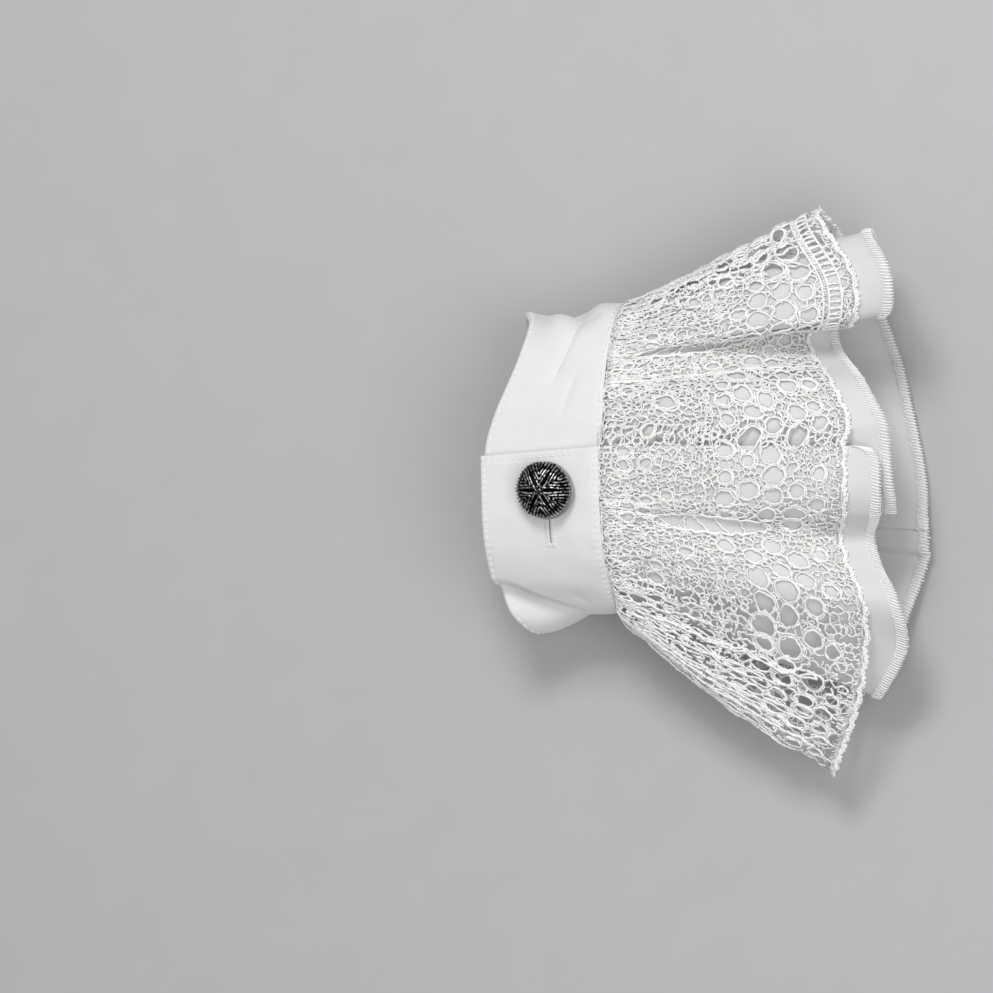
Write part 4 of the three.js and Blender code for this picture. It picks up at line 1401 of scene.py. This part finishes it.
def shared_sides(faces, count):
    """The pairs of triangles with a side in common, and the two sites at the ends of that side."""
    pairs = np.sort(np.concatenate([faces[:, [0, 1]], faces[:, [1, 2]], faces[:, [2, 0]]]), axis=1)
    owner = np.tile(np.arange(len(faces)), 3)
    key = pairs[:, 0] * count + pairs[:, 1]
    rank = np.argsort(key, kind="stable")
    same = key[rank[1:]] == key[rank[:-1]]
    first, second = rank[:-1][same], rank[1:][same]
    return np.stack([owner[first], owner[second]], axis=-1), pairs[first]


class LaceNet:
    """The lace laid flat: places run round the hem and down from the seam, both in millimetres."""

    def __init__(self, form, sizes, thread, lace_end):
        self.rng = np.random.default_rng(77)
        self.flap = sizes.lace_flap / MM
        self.sheet_run = np.linspace(0, lace_end / MM + self.flap, 4001)
        along = form.along((self.sheet_run - self.flap) * MM / form.hem_length)
        spreads = [bump(along - row["along"], row["half"]) for row in LACE_SPREADS]
        fullness = 1 + sum(row["fullness"] * spread for row, spread in zip(LACE_SPREADS, spreads))
        self.spread = sum(spreads)
        steps = (fullness[1:] + fullness[:-1]) / 2 * np.diff(self.sheet_run)
        self.net_run = np.concatenate([[0], np.cumsum(steps)])
        self.width = float(self.net_run[-1])
        self.depth = sizes.lace_depth / MM
        self.thin = thread.lace_thin / MM / 2
        self.thick = thread.lace_thick / MM / 2
        self.hole_least = thread.hole_least / MM / 2
        self.hole_most = thread.hole_most / MM / 2
        self.slits = [(self.run_at(form, row["along"]), row["depth"] * self.depth, row["half_run"],
                       row["half_down"]) for row in LACE_SLITS]
        self.ladder = [self.run_at(form, along) for along in LADDER_ENDS]
        shape = [int(size / ROOM_STEP) + 2 * ROOM_MARGIN + 2 for size in (self.width, LACE_NET_END)]
        self.clear = np.full(shape, 20.0)
        self.sites = []
        self.pack_holes()
        self.pack_edges()
        self.pack_meshes()

    def run_at(self, form, along):
        on_sheet = form.share_where(along) * form.hem_length / MM + self.flap
        return float(np.interp(on_sheet, self.sheet_run, self.net_run))

    def in_slit(self, run, down, margin=0.0):
        inside = False
        for middle_run, middle_down, half_run, half_down in self.slits:
            off_run = (run - middle_run) / (half_run + margin)
            off_down = (down - middle_down) / (half_down + margin)
            inside = inside | (off_run**2 + off_down**2 < 1)
        return inside

    def spread_at(self, run):
        """How far into a spread a place along the lace is, from 0 beside it to 1 in its middle."""
        return np.interp(run, self.net_run, self.spread)

    def in_hole(self, run, down):
        return self.room(run, down) < -0.3

    def in_ladder(self, run, down):
        inside = (down > LADDER_CORDS[0] - 0.2) & (down < LADDER_CORDS[2])
        return (run > self.ladder[0]) & (run < self.ladder[1]) & inside

    def cells(self, place, reach, axis):
        """The grid's cells within reach of a place, and where they lie."""
        first = max(0, int((place - reach) / ROOM_STEP) + ROOM_MARGIN)
        last = max(0, int((place + reach) / ROOM_STEP) + ROOM_MARGIN + 1)
        numbers = np.arange(first, min(last, self.clear.shape[axis]))
        return slice(first, first + len(numbers)), (numbers - ROOM_MARGIN) * ROOM_STEP

    def take(self, run, down, radius):
        """Adds a round site and lowers the room left around it."""
        self.sites.append((run, down, radius))
        columns, x = self.cells(run, radius + 2.2, 0)
        rows, y = self.cells(down, radius + 2.2, 1)
        window = self.clear[columns, rows]
        np.minimum(window, np.hypot(x[:, None] - run, y[None, :] - down) - radius, out=window)

    def room(self, run, down):
        """How far places are from the nearest site's rim, negative inside it."""
        cells = [np.clip((np.asarray(place) / ROOM_STEP + ROOM_MARGIN).astype(int), 0, count - 1)
                 for place, count in zip((run, down), self.clear.shape)]
        return self.clear[tuple(cells)]

    def pack_holes(self):
        """Round holes in rows, but not where a slit, the ladder or another hole is too near."""
        rng = self.rng
        for k, (row_down, filled, row_size) in enumerate(LACE_HOLE_ROWS):
            for n in range(int(self.width / HOLE_SPACING)):
                run = (n + 0.5 * (k % 2) + rng.normal(0, 0.12)) * HOLE_SPACING + 2
                down = row_down + rng.normal(0, 0.55)
                size = np.clip(row_size + rng.normal(0, 0.28), 0, 1)
                radius = self.hole_least + (self.hole_most - self.hole_least) * size
                left_out = rng.random() > filled
                barred = self.in_slit(run, down, radius + 0.3) or self.in_ladder(run, down + radius)
                if not left_out and not barred and self.room(run, down) > radius + 0.4:
                    self.take(run, down, radius)

    def pack_edges(self):
        """Small sites just outside the lace, between which the net comes to its edges."""
        pitch, radius, out = 1.3, 0.5, 0.7
        for run in np.arange(0, self.width, pitch):
            self.take(run, -2.0, radius)
            self.take(run, LACE_NET_END + out, radius)
        for down in np.arange(0.6, LACE_NET_END, pitch):
            self.take(-out, down, radius)
            self.take(self.width + out, down, radius)

    def pack_meshes(self):
        """The small meshes, few of them where the lace spreads."""
        rng = self.rng
        for tries, least, most in LACE_MESHES:
            runs = rng.uniform(0, self.width, tries)
            downs = rng.uniform(LACE_NET_START, LACE_NET_END, tries)
            radii = rng.uniform(least, most, tries)
            sparse = rng.random(tries) > 0.93 * self.spread_at(runs)
            for run, down, radius in zip(runs[sparse], downs[sparse], radii[sparse]):
                if self.room(run, down) > radius + 0.12 and not self.in_slit(run, down):
                    self.take(run, down, radius)

    def net(self):
        """The net between the sites: its nodes, the node pairs it joins and the larger site beside each."""
        sites = np.array(self.sites)
        faces = site_triangles(self.sites)
        nodes = equal_places(sites, faces)
        ends, pairs = shared_sides(faces, len(sites))
        beside_each = np.max(sites[pairs, 2], axis=1)
        a, b = nodes[ends[:, 0]], nodes[ends[:, 1]]
        run, down = (a + b).T / 2
        span = np.linalg.norm(b - a, axis=1)
        least, most = np.minimum(a, b), np.maximum(a, b)
        keep = (least[:, 0] > 0.1) & (most[:, 0] < self.width - 0.1)
        keep &= (least[:, 1] > LACE_NET_START) & (most[:, 1] < LACE_NET_END + 0.2)
        keep &= (span < 5) & (span > 0.12) & ~self.in_slit(run, down) & ~self.in_ladder(run, down)
        keep &= self.rng.random(len(keep)) > 0.07 * (beside_each < ROUND_HOLE)
        ragged = 0.9 + 0.8 * np.sin(1.1 * down) + 0.7 * np.sin(2.9 * down + 1)
        keep &= run > ragged
        return nodes, ends[keep], beside_each[keep]


class LacePen:
    """Lays threads that are drawn in the flat lace's millimetres on the lace's sheet."""

    def __init__(self, sheet, net):
        self.sheet = sheet
        self.net = net

    def draw(self, parts, run, down, height, radius, sides=3, closed=False, flat=1.0):
        on_sheet = np.interp(run, self.net.net_run, self.net.sheet_run) - self.net.flap
        points, normals = self.sheet.at(on_sheet * MM, down / self.net.depth, height * MM)
        radius = np.broadcast_to(radius, run.shape) * MM
        points[..., 2] = np.maximum(points[..., 2], radius)
        add_tubes(parts, points, normals, radius, sides, closed, flat)

    def cord(self, parts, run, down, height, radius, sides=4):
        """One long thread, cut where it would cross a slit."""
        pieces = (len(run) - 1) // CORD_PIECE
        index = np.arange(pieces)[:, None] * CORD_PIECE + np.arange(CORD_PIECE + 1)
        middle = index[:, CORD_PIECE // 2]
        index = index[~self.net.in_slit(run[middle], down[middle], 0.6)]
        radius = np.broadcast_to(radius, run.shape)
        self.draw(parts, run[index], down[index], height[index], radius[index], sides)


def scalloped(run):
    """How far down the scalloped cord lies at places along the lace."""
    return LACE_BORDER + SCALLOP_RISE * np.abs(np.sin(math.pi * run / LACE_SCALLOP))


class LACECUFF_OT_lace_ruffle(bpy.types.Operator):
    """Adds the lace ruffle: a net of cotton threads with round holes, cords, a ladder and a looped edge"""

    bl_idname = "lace_cuff.add_lace_ruffle"
    bl_label = "Add Lace Ruffle"

    def execute(self, context):
        form, sizes, _, thread, colours = cuff_parts(context)
        cloth = RuffleCloth(form, sizes)
        net = LaceNet(form, sizes, thread, cloth.lace_end())
        pen = LacePen(cloth.lace(), net)
        cord = twisted_cotton("Cotton lace thread", colours, twist_mm=0.45, relief_mm=0.05)
        upper, lower, fluff, runners, edge = (MeshParts() for _ in range(5))
        self.draw_net(upper, lower, pen, net)
        self.draw_holes(lower, pen, net)
        self.draw_fluff(fluff, pen, net)
        self.draw_runners(runners, pen, net)
        for draw in (self.draw_cord, self.draw_upper_end, self.draw_slits, self.draw_ladder,
                     self.draw_border, self.draw_loops, self.draw_loose_ends):
            draw(edge, pen, net)
        pieces = []
        for name, parts in (("lace_net_lower", lower), ("lace_net_upper", upper), ("lace_fluff", fluff),
                            ("lace_runners", runners), ("lace_edge", edge)):
            pieces.append(dressed(parts, name, cord, "ruffle_lace"))
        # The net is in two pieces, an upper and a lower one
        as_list(pieces[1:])
        return {"FINISHED"}

    def draw_net(self, upper, lower, pen, net):
        """The close net, of threads pressed flat, with fewer of them across where the lace spreads."""
        rng = net.rng
        nodes, ends, beside = net.net()
        height = rng.normal(0, 0.10, len(nodes))
        a, b = nodes[ends[:, 0]], nodes[ends[:, 1]]
        crosswise = np.abs(a[:, 0] - b[:, 0]) > np.abs(a[:, 1] - b[:, 1])
        kept = rng.random(len(a)) > (0.40 + 0.42 * crosswise) * net.spread_at(a[:, 0])
        a, b, ends, beside = a[kept], b[kept], ends[kept], beside[kept]
        span = np.linalg.norm(b - a, axis=1)
        thick = beside > ROUND_HOLE
        down = (a[:, 1] + b[:, 1]) / 2
        for parts, zone in ((upper, down < LACE_NET_SPLIT), (lower, down >= LACE_NET_SPLIT)):
            for chosen, steps in ((span < 1.0, 2), (span >= 1.0, 4)):
                pick = zone & chosen
                count = int(pick.sum())
                t = np.linspace(0, 1, steps)[None, :]
                bow = rng.normal(0, 0.15, (count, 1)) * np.sin(math.pi * t) \
                    + rng.normal(0, 0.06, (count, 1)) * np.sin(TURN * t)
                along = (b - a)[pick]
                run = a[pick, 0, None] + along[:, 0, None] * t - along[:, 1, None] * bow
                fall = a[pick, 1, None] + along[:, 1, None] * t + along[:, 0, None] * bow
                lift = height[ends[pick, 0], None] * (1 - t) + height[ends[pick, 1], None] * t \
                    + rng.normal(0, 0.12, (count, 1)) * np.sin(math.pi * t)
                base = np.where(thick[pick], net.thick * 1.5, net.thin * 1.8)[:, None]
                base = base * (1 + rng.normal(0, 0.14, (count, 1)))
                radius = base * (1 - 0.16 * np.sin(math.pi * t))
                pen.draw(parts, run, fall, lift, radius, flat=0.6)

    def draw_holes(self, parts, pen, net):
        """Each hole's rim: up to three wobbling rounds of cord, each a little outside the one before."""
        rng = net.rng
        holes = np.array([site for site in net.sites if site[2] > ROUND_HOLE])
        count = len(holes)
        t = np.linspace(0, TURN, 16, endpoint=False)[None, :]
        draw = rng.random(count)
        shape = rng.normal(0, 1, (3, count, 1)) * np.array([0.080, 0.060, 0.035])[:, None, None]
        phase = rng.uniform(0, TURN, (3, count, 1))
        for part, extra, lift, thickness in HOLE_ROUNDS:
            chosen = draw < part
            some = holes[chosen]
            many = len(some)
            wobble = sum(shape[k][chosen] * np.cos((k * k + 2) * t + phase[k][chosen]) for k in range(3)) \
                + rng.normal(0, 0.02, (many, 16))
            r = some[:, 2, None] * (1 + wobble) + extra + 0.25 * np.sin(t + rng.uniform(0, TURN, (many, 1)))
            height = lift + rng.normal(0, 0.09, (many, 16))
            radius = net.thick * thickness * (1 + rng.normal(0, 0.14, (many, 16)))
            pen.draw(parts, some[:, 0, None] + r * np.cos(t), some[:, 1, None] + r * np.sin(t),
                     height, radius, closed=True)

    def draw_fluff(self, parts, pen, net):
        """Curling loose strands worked over the close parts between the holes."""
        rng = net.rng
        run = rng.uniform(1, net.width - 1, FLUFF_TRIES)
        run = run[rng.random(FLUFF_TRIES) > 0.85 * net.spread_at(run)]
        tries = len(run)
        down = rng.uniform(-0.8, LACE_BORDER, tries)
        heading = rng.uniform(0, TURN, tries)
        bend = rng.normal(0, 0.35, tries)
        stride = rng.uniform(0.35, 0.62, tries)
        x, y = [run], [down]
        steps = 10
        for _ in range(steps):
            bend = 0.82 * bend + rng.normal(0, 0.26, tries)
            heading = heading + bend
            x.append(x[-1] + stride * np.cos(heading))
            y.append(y[-1] + stride * np.sin(heading))
        x, y = np.stack(x, axis=1), np.stack(y, axis=1)
        near = np.full(x.shape, 9.0)
        for site_x, site_y, r in net.sites:
            if r > ROUND_HOLE:
                close = np.abs(run - site_x) < 12
                gap = np.hypot(x[close] - site_x, y[close] - site_y) - r
                near[close] = np.minimum(near[close], gap)
        barred = (near <= 0.1) | net.in_slit(x, y, 0.5) | net.in_ladder(x, y)
        free = ~barred.any(axis=1)
        x, y = x[free], y[free]
        height = 0.16 + 0.10 * rng.normal(0, 1, (len(x), 1)) + rng.normal(0, 0.08, x.shape)
        pen.draw(parts, np.clip(x, 0, net.width), np.clip(y, -1.2, LACE_BORDER), height, net.thin * 0.82)

    def draw_runners(self, parts, pen, net):
        """Long strands down the lace: short ones drawn in at the seam, long ones where the lace spreads."""
        rng = net.rng
        for count, first, last, wide in LACE_RUNNERS:
            start = rng.uniform(2, net.width - 2, count * (8 if wide else 1))
            if wide:
                start = start[rng.random(len(start)) < net.spread_at(start)][:count]
            start = start[:, None]
            steps = int((last - first) / 0.9)
            low = first + rng.uniform(0, 0.35, start.shape) * (last - first)
            reach = (last - low) * rng.uniform(0.35, 1.0, start.shape)
            y = low + reach * np.linspace(0, 1, steps)[None, :]
            x = start
            for period, size in RUNNER_WAVES:
                sway = size * rng.uniform(0.4, 1, start.shape)
                turn = TURN * y / period / rng.uniform(0.8, 1.25, start.shape)
                x = x + sway * np.sin(turn + rng.uniform(0, TURN, start.shape))
            height = 0.22 + rng.normal(0, 0.1, start.shape) + rng.normal(0, 0.07, y.shape)
            radius = net.thin * (1.7 if wide else 0.9) * (1 + rng.normal(0, 0.12, y.shape))
            for k in range(0, steps - RUNNER_PIECE, RUNNER_PIECE):
                span = slice(k, k + RUNNER_PIECE + 1)
                middle = x[:, k + RUNNER_PIECE // 2], y[:, k + RUNNER_PIECE // 2]
                free = ~net.in_slit(*middle, 0.6) & ~(net.in_hole(*middle) & (not wide))
                if free.any():
                    pen.draw(parts, np.clip(x[free, span], 0, net.width), y[free, span], height[free, span],
                             radius[free, span])

    def draw_cord(self, parts, pen, net):
        """A doubled cord round the lace, its two strands crossing to and fro."""
        rng = net.rng
        run = np.arange(1.6, net.width, POINT_STEP)
        drift = Ripples(rng, 12, 40, 6)(run, 0 * run) * 0.4 + Ripples(rng, 2, 5, 6)(run, 0 * run) * 0.2
        twist = TURN * run / 2.6
        for side in (-1, 1):
            fall = LACE_CORD + drift + side * 0.28 * np.sin(twist)
            height = 0.06 + side * 0.10 * np.cos(twist) + rng.normal(0, 0.05, len(run))
            pen.cord(parts, run, fall, height, net.thin * 0.85, 3)

    def draw_upper_end(self, parts, pen, net):
        """Three cords that sway down the end of the flap."""
        down = np.arange(0, LACE_BORDER + 0.2, POINT_STEP)
        for k in range(3):
            sway = 1.1 + 0.5 * k + 0.35 * np.sin(1.1 * down) + 0.22 * np.sin(2.9 * down + k)
            height = 0.1 + 0.12 * k + net.rng.normal(0, 0.1, len(down))
            pen.cord(parts, sway, down, height, net.thick * 0.8)

    def draw_slits(self, parts, pen, net):
        """Two rounds of cord about each slit, and the threads that still cross it."""
        t = np.linspace(0, TURN, 72, endpoint=False)
        for slit in net.slits:
            middle_run, middle_down, half_run, half_down = slit
            for grow, lift in ((0.25, 0.1), (0.65, 0.2)):
                wobble = 0.5 * np.sin(23 * t + 1) + 0.35 * np.sin(38 * t) + net.rng.normal(0, 0.12, len(t))
                x = middle_run + (half_run + grow + wobble) * np.cos(t)
                y = middle_down + (half_down + grow + wobble) * np.sin(t)
                height = np.full((1, len(t)), lift)
                pen.draw(parts, x[None], y[None], height, net.thick * 1.1, 4, closed=True)
            self.cross_slit(parts, pen, net, *slit)

    def cross_slit(self, parts, pen, net, middle_run, middle_down, half_run, half_down):
        """A few threads across a slit, bowed and slanting."""
        rng = net.rng
        count = int(half_down / 3.2)
        place = (np.arange(count) + 0.5) / count * 2 - 1 + rng.normal(0, 0.05, count)
        place = np.clip(place, -0.93, 0.93)[:, None]
        t = np.linspace(-1, 1, 12)[None, :]
        x = middle_run + (half_run + 0.4) * np.sqrt(1 - place**2) * t
        slant = rng.normal(0, 2.2, (count, 1)) * t
        bow = rng.normal(0, 1.2, (count, 1)) * np.cos(math.pi * t / 2)
        y = middle_down + half_down * place + slant + bow + 0.25 * np.sin(9 * t + place * 40)
        pen.draw(parts, x, y, 0.05 + rng.normal(0, 0.08, x.shape), net.thin * 1.1, 4)

    def draw_ladder(self, parts, pen, net):
        """Over the upper crest, rungs between two cords, and close zigzags between the pair above them."""
        rng = net.rng
        first, last = net.ladder
        pitch = 2.1
        count = int((last - first) / pitch)
        run = first + (np.arange(count) + 0.5) * pitch + rng.normal(0, 0.25, count)
        t = np.linspace(0, 1, 6)[None, :]
        top = LADDER_CORDS[1] - 0.2
        bottom = LADDER_CORDS[2] + 0.2
        for strand in (-1, 1):
            lean = rng.normal(0, 0.25, (count, 1))
            x = run[:, None] + lean * t + strand * 0.19 * np.sin(1.5 * math.pi * t + 1)
            y = np.broadcast_to(top + (bottom - top) * t, x.shape)
            pen.draw(parts, x, y, 0.05 + rng.normal(0, 0.07, (count, 6)), net.thin * 1.1, 4)
        run = np.arange(first, last, POINT_STEP)
        twist = TURN * run / 1.9
        for down in LADDER_CORDS:
            for side in (-1, 1):
                fall = down + side * 0.24 * np.sin(twist)
                pen.cord(parts, run, fall, 0.12 + side * 0.16 * np.cos(twist), net.thin * 1.1)
        self.zigzag(parts, pen, net, 68.6, 70.9, 0.75, first, last)

    def zigzag(self, parts, pen, net, top, bottom, pitch, first, last):
        """A tangled thread to and fro between two lines."""
        rng = net.rng
        k = np.arange(int((last - first) / pitch) * 3)
        run = first + k * pitch / 3 + rng.normal(0, 0.08, len(k))
        swing = np.sin(math.pi * k / 1.5 + 0.4) * rng.uniform(0.35, 1, len(k))
        fall = (top + bottom) / 2 + (bottom - top) / 2 * swing
        height = 0.12 + rng.normal(0, 0.1, len(k))
        pen.cord(parts, np.clip(run, 0, net.width), fall, height, net.thin * 0.95, 3)

    def draw_border(self, parts, pen, net):
        """Zigzags along the lower edge, and the doubled scalloped cord that they hang on."""
        rng = net.rng
        self.zigzag(parts, pen, net, 76.2, 79.0, 1.35, 1.5, net.width)
        run = np.arange(1.5, net.width, POINT_STEP)
        for offset in (0.0, 0.45):
            fall = scalloped(run) + offset + rng.normal(0, 0.12, len(run))
            pen.cord(parts, run, fall, 0.08 + rng.normal(0, 0.12, len(run)), net.thin * 1.4)

    def draw_loops(self, parts, pen, net):
        """A small loop at every step of the scalloped cord."""
        rng = net.rng
        pitch = 1.55
        count = int(net.width / pitch)
        middle = (np.arange(count) + 0.5)[:, None] * pitch + rng.normal(0, 0.15, (count, 1))
        t = np.linspace(0, TURN, 8, endpoint=False)[None, :]
        size = rng.uniform(0.45, 0.85, (count, 1))
        x = np.clip(middle + size * 0.75 * np.cos(t), 0, net.width)
        y = scalloped(middle) + 0.55 + size * np.sin(t)
        pen.draw(parts, x, y, 0.05 + rng.normal(0, 0.12, x.shape), net.thin * 1.15, 4, closed=True)

    def draw_loose_ends(self, parts, pen, net):
        """Thin ends of thread that hang out from under the edge."""
        rng = net.rng
        size = (110, 1)
        x = rng.uniform(2, net.width - 2, size)
        t = np.linspace(0, 1, 5)[None, :]
        lean = rng.normal(0, 0.8, size)
        reach = rng.uniform(0.6, 2.2, size)
        curl = rng.normal(0, 0.4, size)
        pen.draw(parts, x + lean * t + curl * np.sin(math.pi * t), 78.6 + reach * t,
                 0.1 + rng.normal(0, 0.5, size) * t, net.thin * 0.55)


# The camera's lean from the upright towards the mouth, in degrees, and its view, in millimetres
CAMERA_LEAN = 20
VIEW_MIDDLE = (-23.9, -11.4, 20)
VIEW_WIDTH = 298
# Soft lamps: place and size in metres, and power in watts. All face LAMPS_FACE.
LAMPS = [
    {"name": "key", "at": (0.15, 0.62, 1.00), "size": 0.34, "power": 6.2},
    {"name": "fill", "at": (0.75, -0.20, 1.10), "size": 0.8, "power": 5.5},
]
LAMPS_FACE = (0.04, 0, 0.02)
AIR_LIGHT = 0.42


class LACECUFF_OT_stage(bpy.types.Operator):
    """Adds the studio: a pale floor, soft lights and the camera"""

    bl_idname = "lace_cuff.add_stage"
    bl_label = "Add Stage"

    def execute(self, context):
        colours = context.scene.lace_cuff_colours
        paper = matt_paper("Matt studio paper", colours.floor_light, colours.floor_dark)
        half = 2.0
        corners = [(-half, -half, 0), (half, -half, 0), (half, half, 0), (-half, half, 0)]
        mesh = bpy.data.meshes.new("floor")
        mesh.from_pydata(corners, [], [(0, 1, 2, 3)])
        mesh.materials.append(paper)
        floor = bpy.data.objects.new("floor", mesh)
        context.scene.collection.objects.link(floor)
        floor.location.z = -0.2 * MM
        floor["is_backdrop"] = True
        for row in LAMPS:
            self.add_lamp(context, row)
        world = bpy.data.worlds.new("Soft studio air")
        context.scene.world = world
        world.use_nodes = True
        background = world.node_tree.nodes["Background"]
        background.inputs["Color"].default_value = (1.0, 1.0, 1.0, 1)
        background.inputs["Strength"].default_value = AIR_LIGHT
        context.scene.view_settings.view_transform = "Standard"
        self.add_camera(context)
        return {"FINISHED"}

    def add_lamp(self, context, row):
        """A square lamp whose light is soft, turned to the cuff."""
        lamp = bpy.data.lights.new(row["name"], "AREA")
        lamp.size = row["size"]
        lamp.energy = row["power"]
        light = bpy.data.objects.new(row["name"], lamp)
        context.scene.collection.objects.link(light)
        light.location = row["at"]
        light.rotation_euler = (Vector(row["at"]) - Vector(LAMPS_FACE)).to_track_quat("Z", "Y").to_euler()

    def add_camera(self, context):
        """A long lens above the mouth's side of the cuff, 70 degrees up, with the cuff's length level."""
        lean = math.radians(CAMERA_LEAN)
        toward = Vector((math.sin(lean), 0, math.cos(lean)))
        right = Vector((math.cos(lean), 0, -math.sin(lean)))
        up = Vector((0, 1, 0))
        lens = bpy.data.cameras.new("camera")
        lens.lens = 1000
        lens.sensor_width = 36
        lens.clip_end = 20
        camera = bpy.data.objects.new("camera", lens)
        distance = VIEW_WIDTH * MM * lens.lens / lens.sensor_width
        turn = Matrix((right, up, toward)).transposed().to_4x4()
        camera.matrix_world = Matrix.Translation(Vector(VIEW_MIDDLE) * MM + toward * distance) @ turn
        context.scene.collection.objects.link(camera)
        context.scene.camera = camera


class LACECUFF_PT_panel(bpy.types.Panel):
    """Lists the cuff's pieces and its sizes"""

    bl_idname = "LACECUFF_PT_panel"
    bl_label = "Lace Cuff"
    bl_space_type = "VIEW_3D"
    bl_region_type = "UI"
    bl_category = "Lace Cuff"

    def draw(self, context):
        for operator in OPERATORS:
            self.layout.operator(operator.bl_idname)
        for group in ("lace_cuff_sizes", "lace_cuff_button", "lace_cuff_threads", "lace_cuff_colours"):
            values = getattr(context.scene, group)
            box = self.layout.box()
            for key in values.__annotations__:
                box.prop(values, key)


GROUPS = {
    "lace_cuff_sizes": CuffSizes,
    "lace_cuff_button": ButtonSizes,
    "lace_cuff_threads": ThreadSizes,
    "lace_cuff_colours": CuffColours,
}
OPERATORS = (
    LACECUFF_OT_band,
    LACECUFF_OT_button,
    LACECUFF_OT_cotton_ruffle,
    LACECUFF_OT_lace_ruffle,
    LACECUFF_OT_stage,
)
CLASSES = (*GROUPS.values(), *OPERATORS, LACECUFF_PT_panel)


def register():
    for kind in CLASSES:
        bpy.utils.register_class(kind)
    for name, group in GROUPS.items():
        setattr(bpy.types.Scene, name, PointerProperty(type=group))


def unregister():
    for name in GROUPS:
        delattr(bpy.types.Scene, name)
    for kind in reversed(CLASSES):
        bpy.utils.unregister_class(kind)


def main():
    register()
    bpy.ops.lace_cuff.add_band()
    bpy.ops.lace_cuff.add_button()
    bpy.ops.lace_cuff.add_cotton_ruffle()
    bpy.ops.lace_cuff.add_lace_ruffle()
    bpy.ops.lace_cuff.add_stage()
    numbers = lambda box: [[float(value) for value in corner] for corner in box]
    {"cad": numbers(cad_box), "visual": numbers(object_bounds())}


if __name__ == "__main__":
    main()
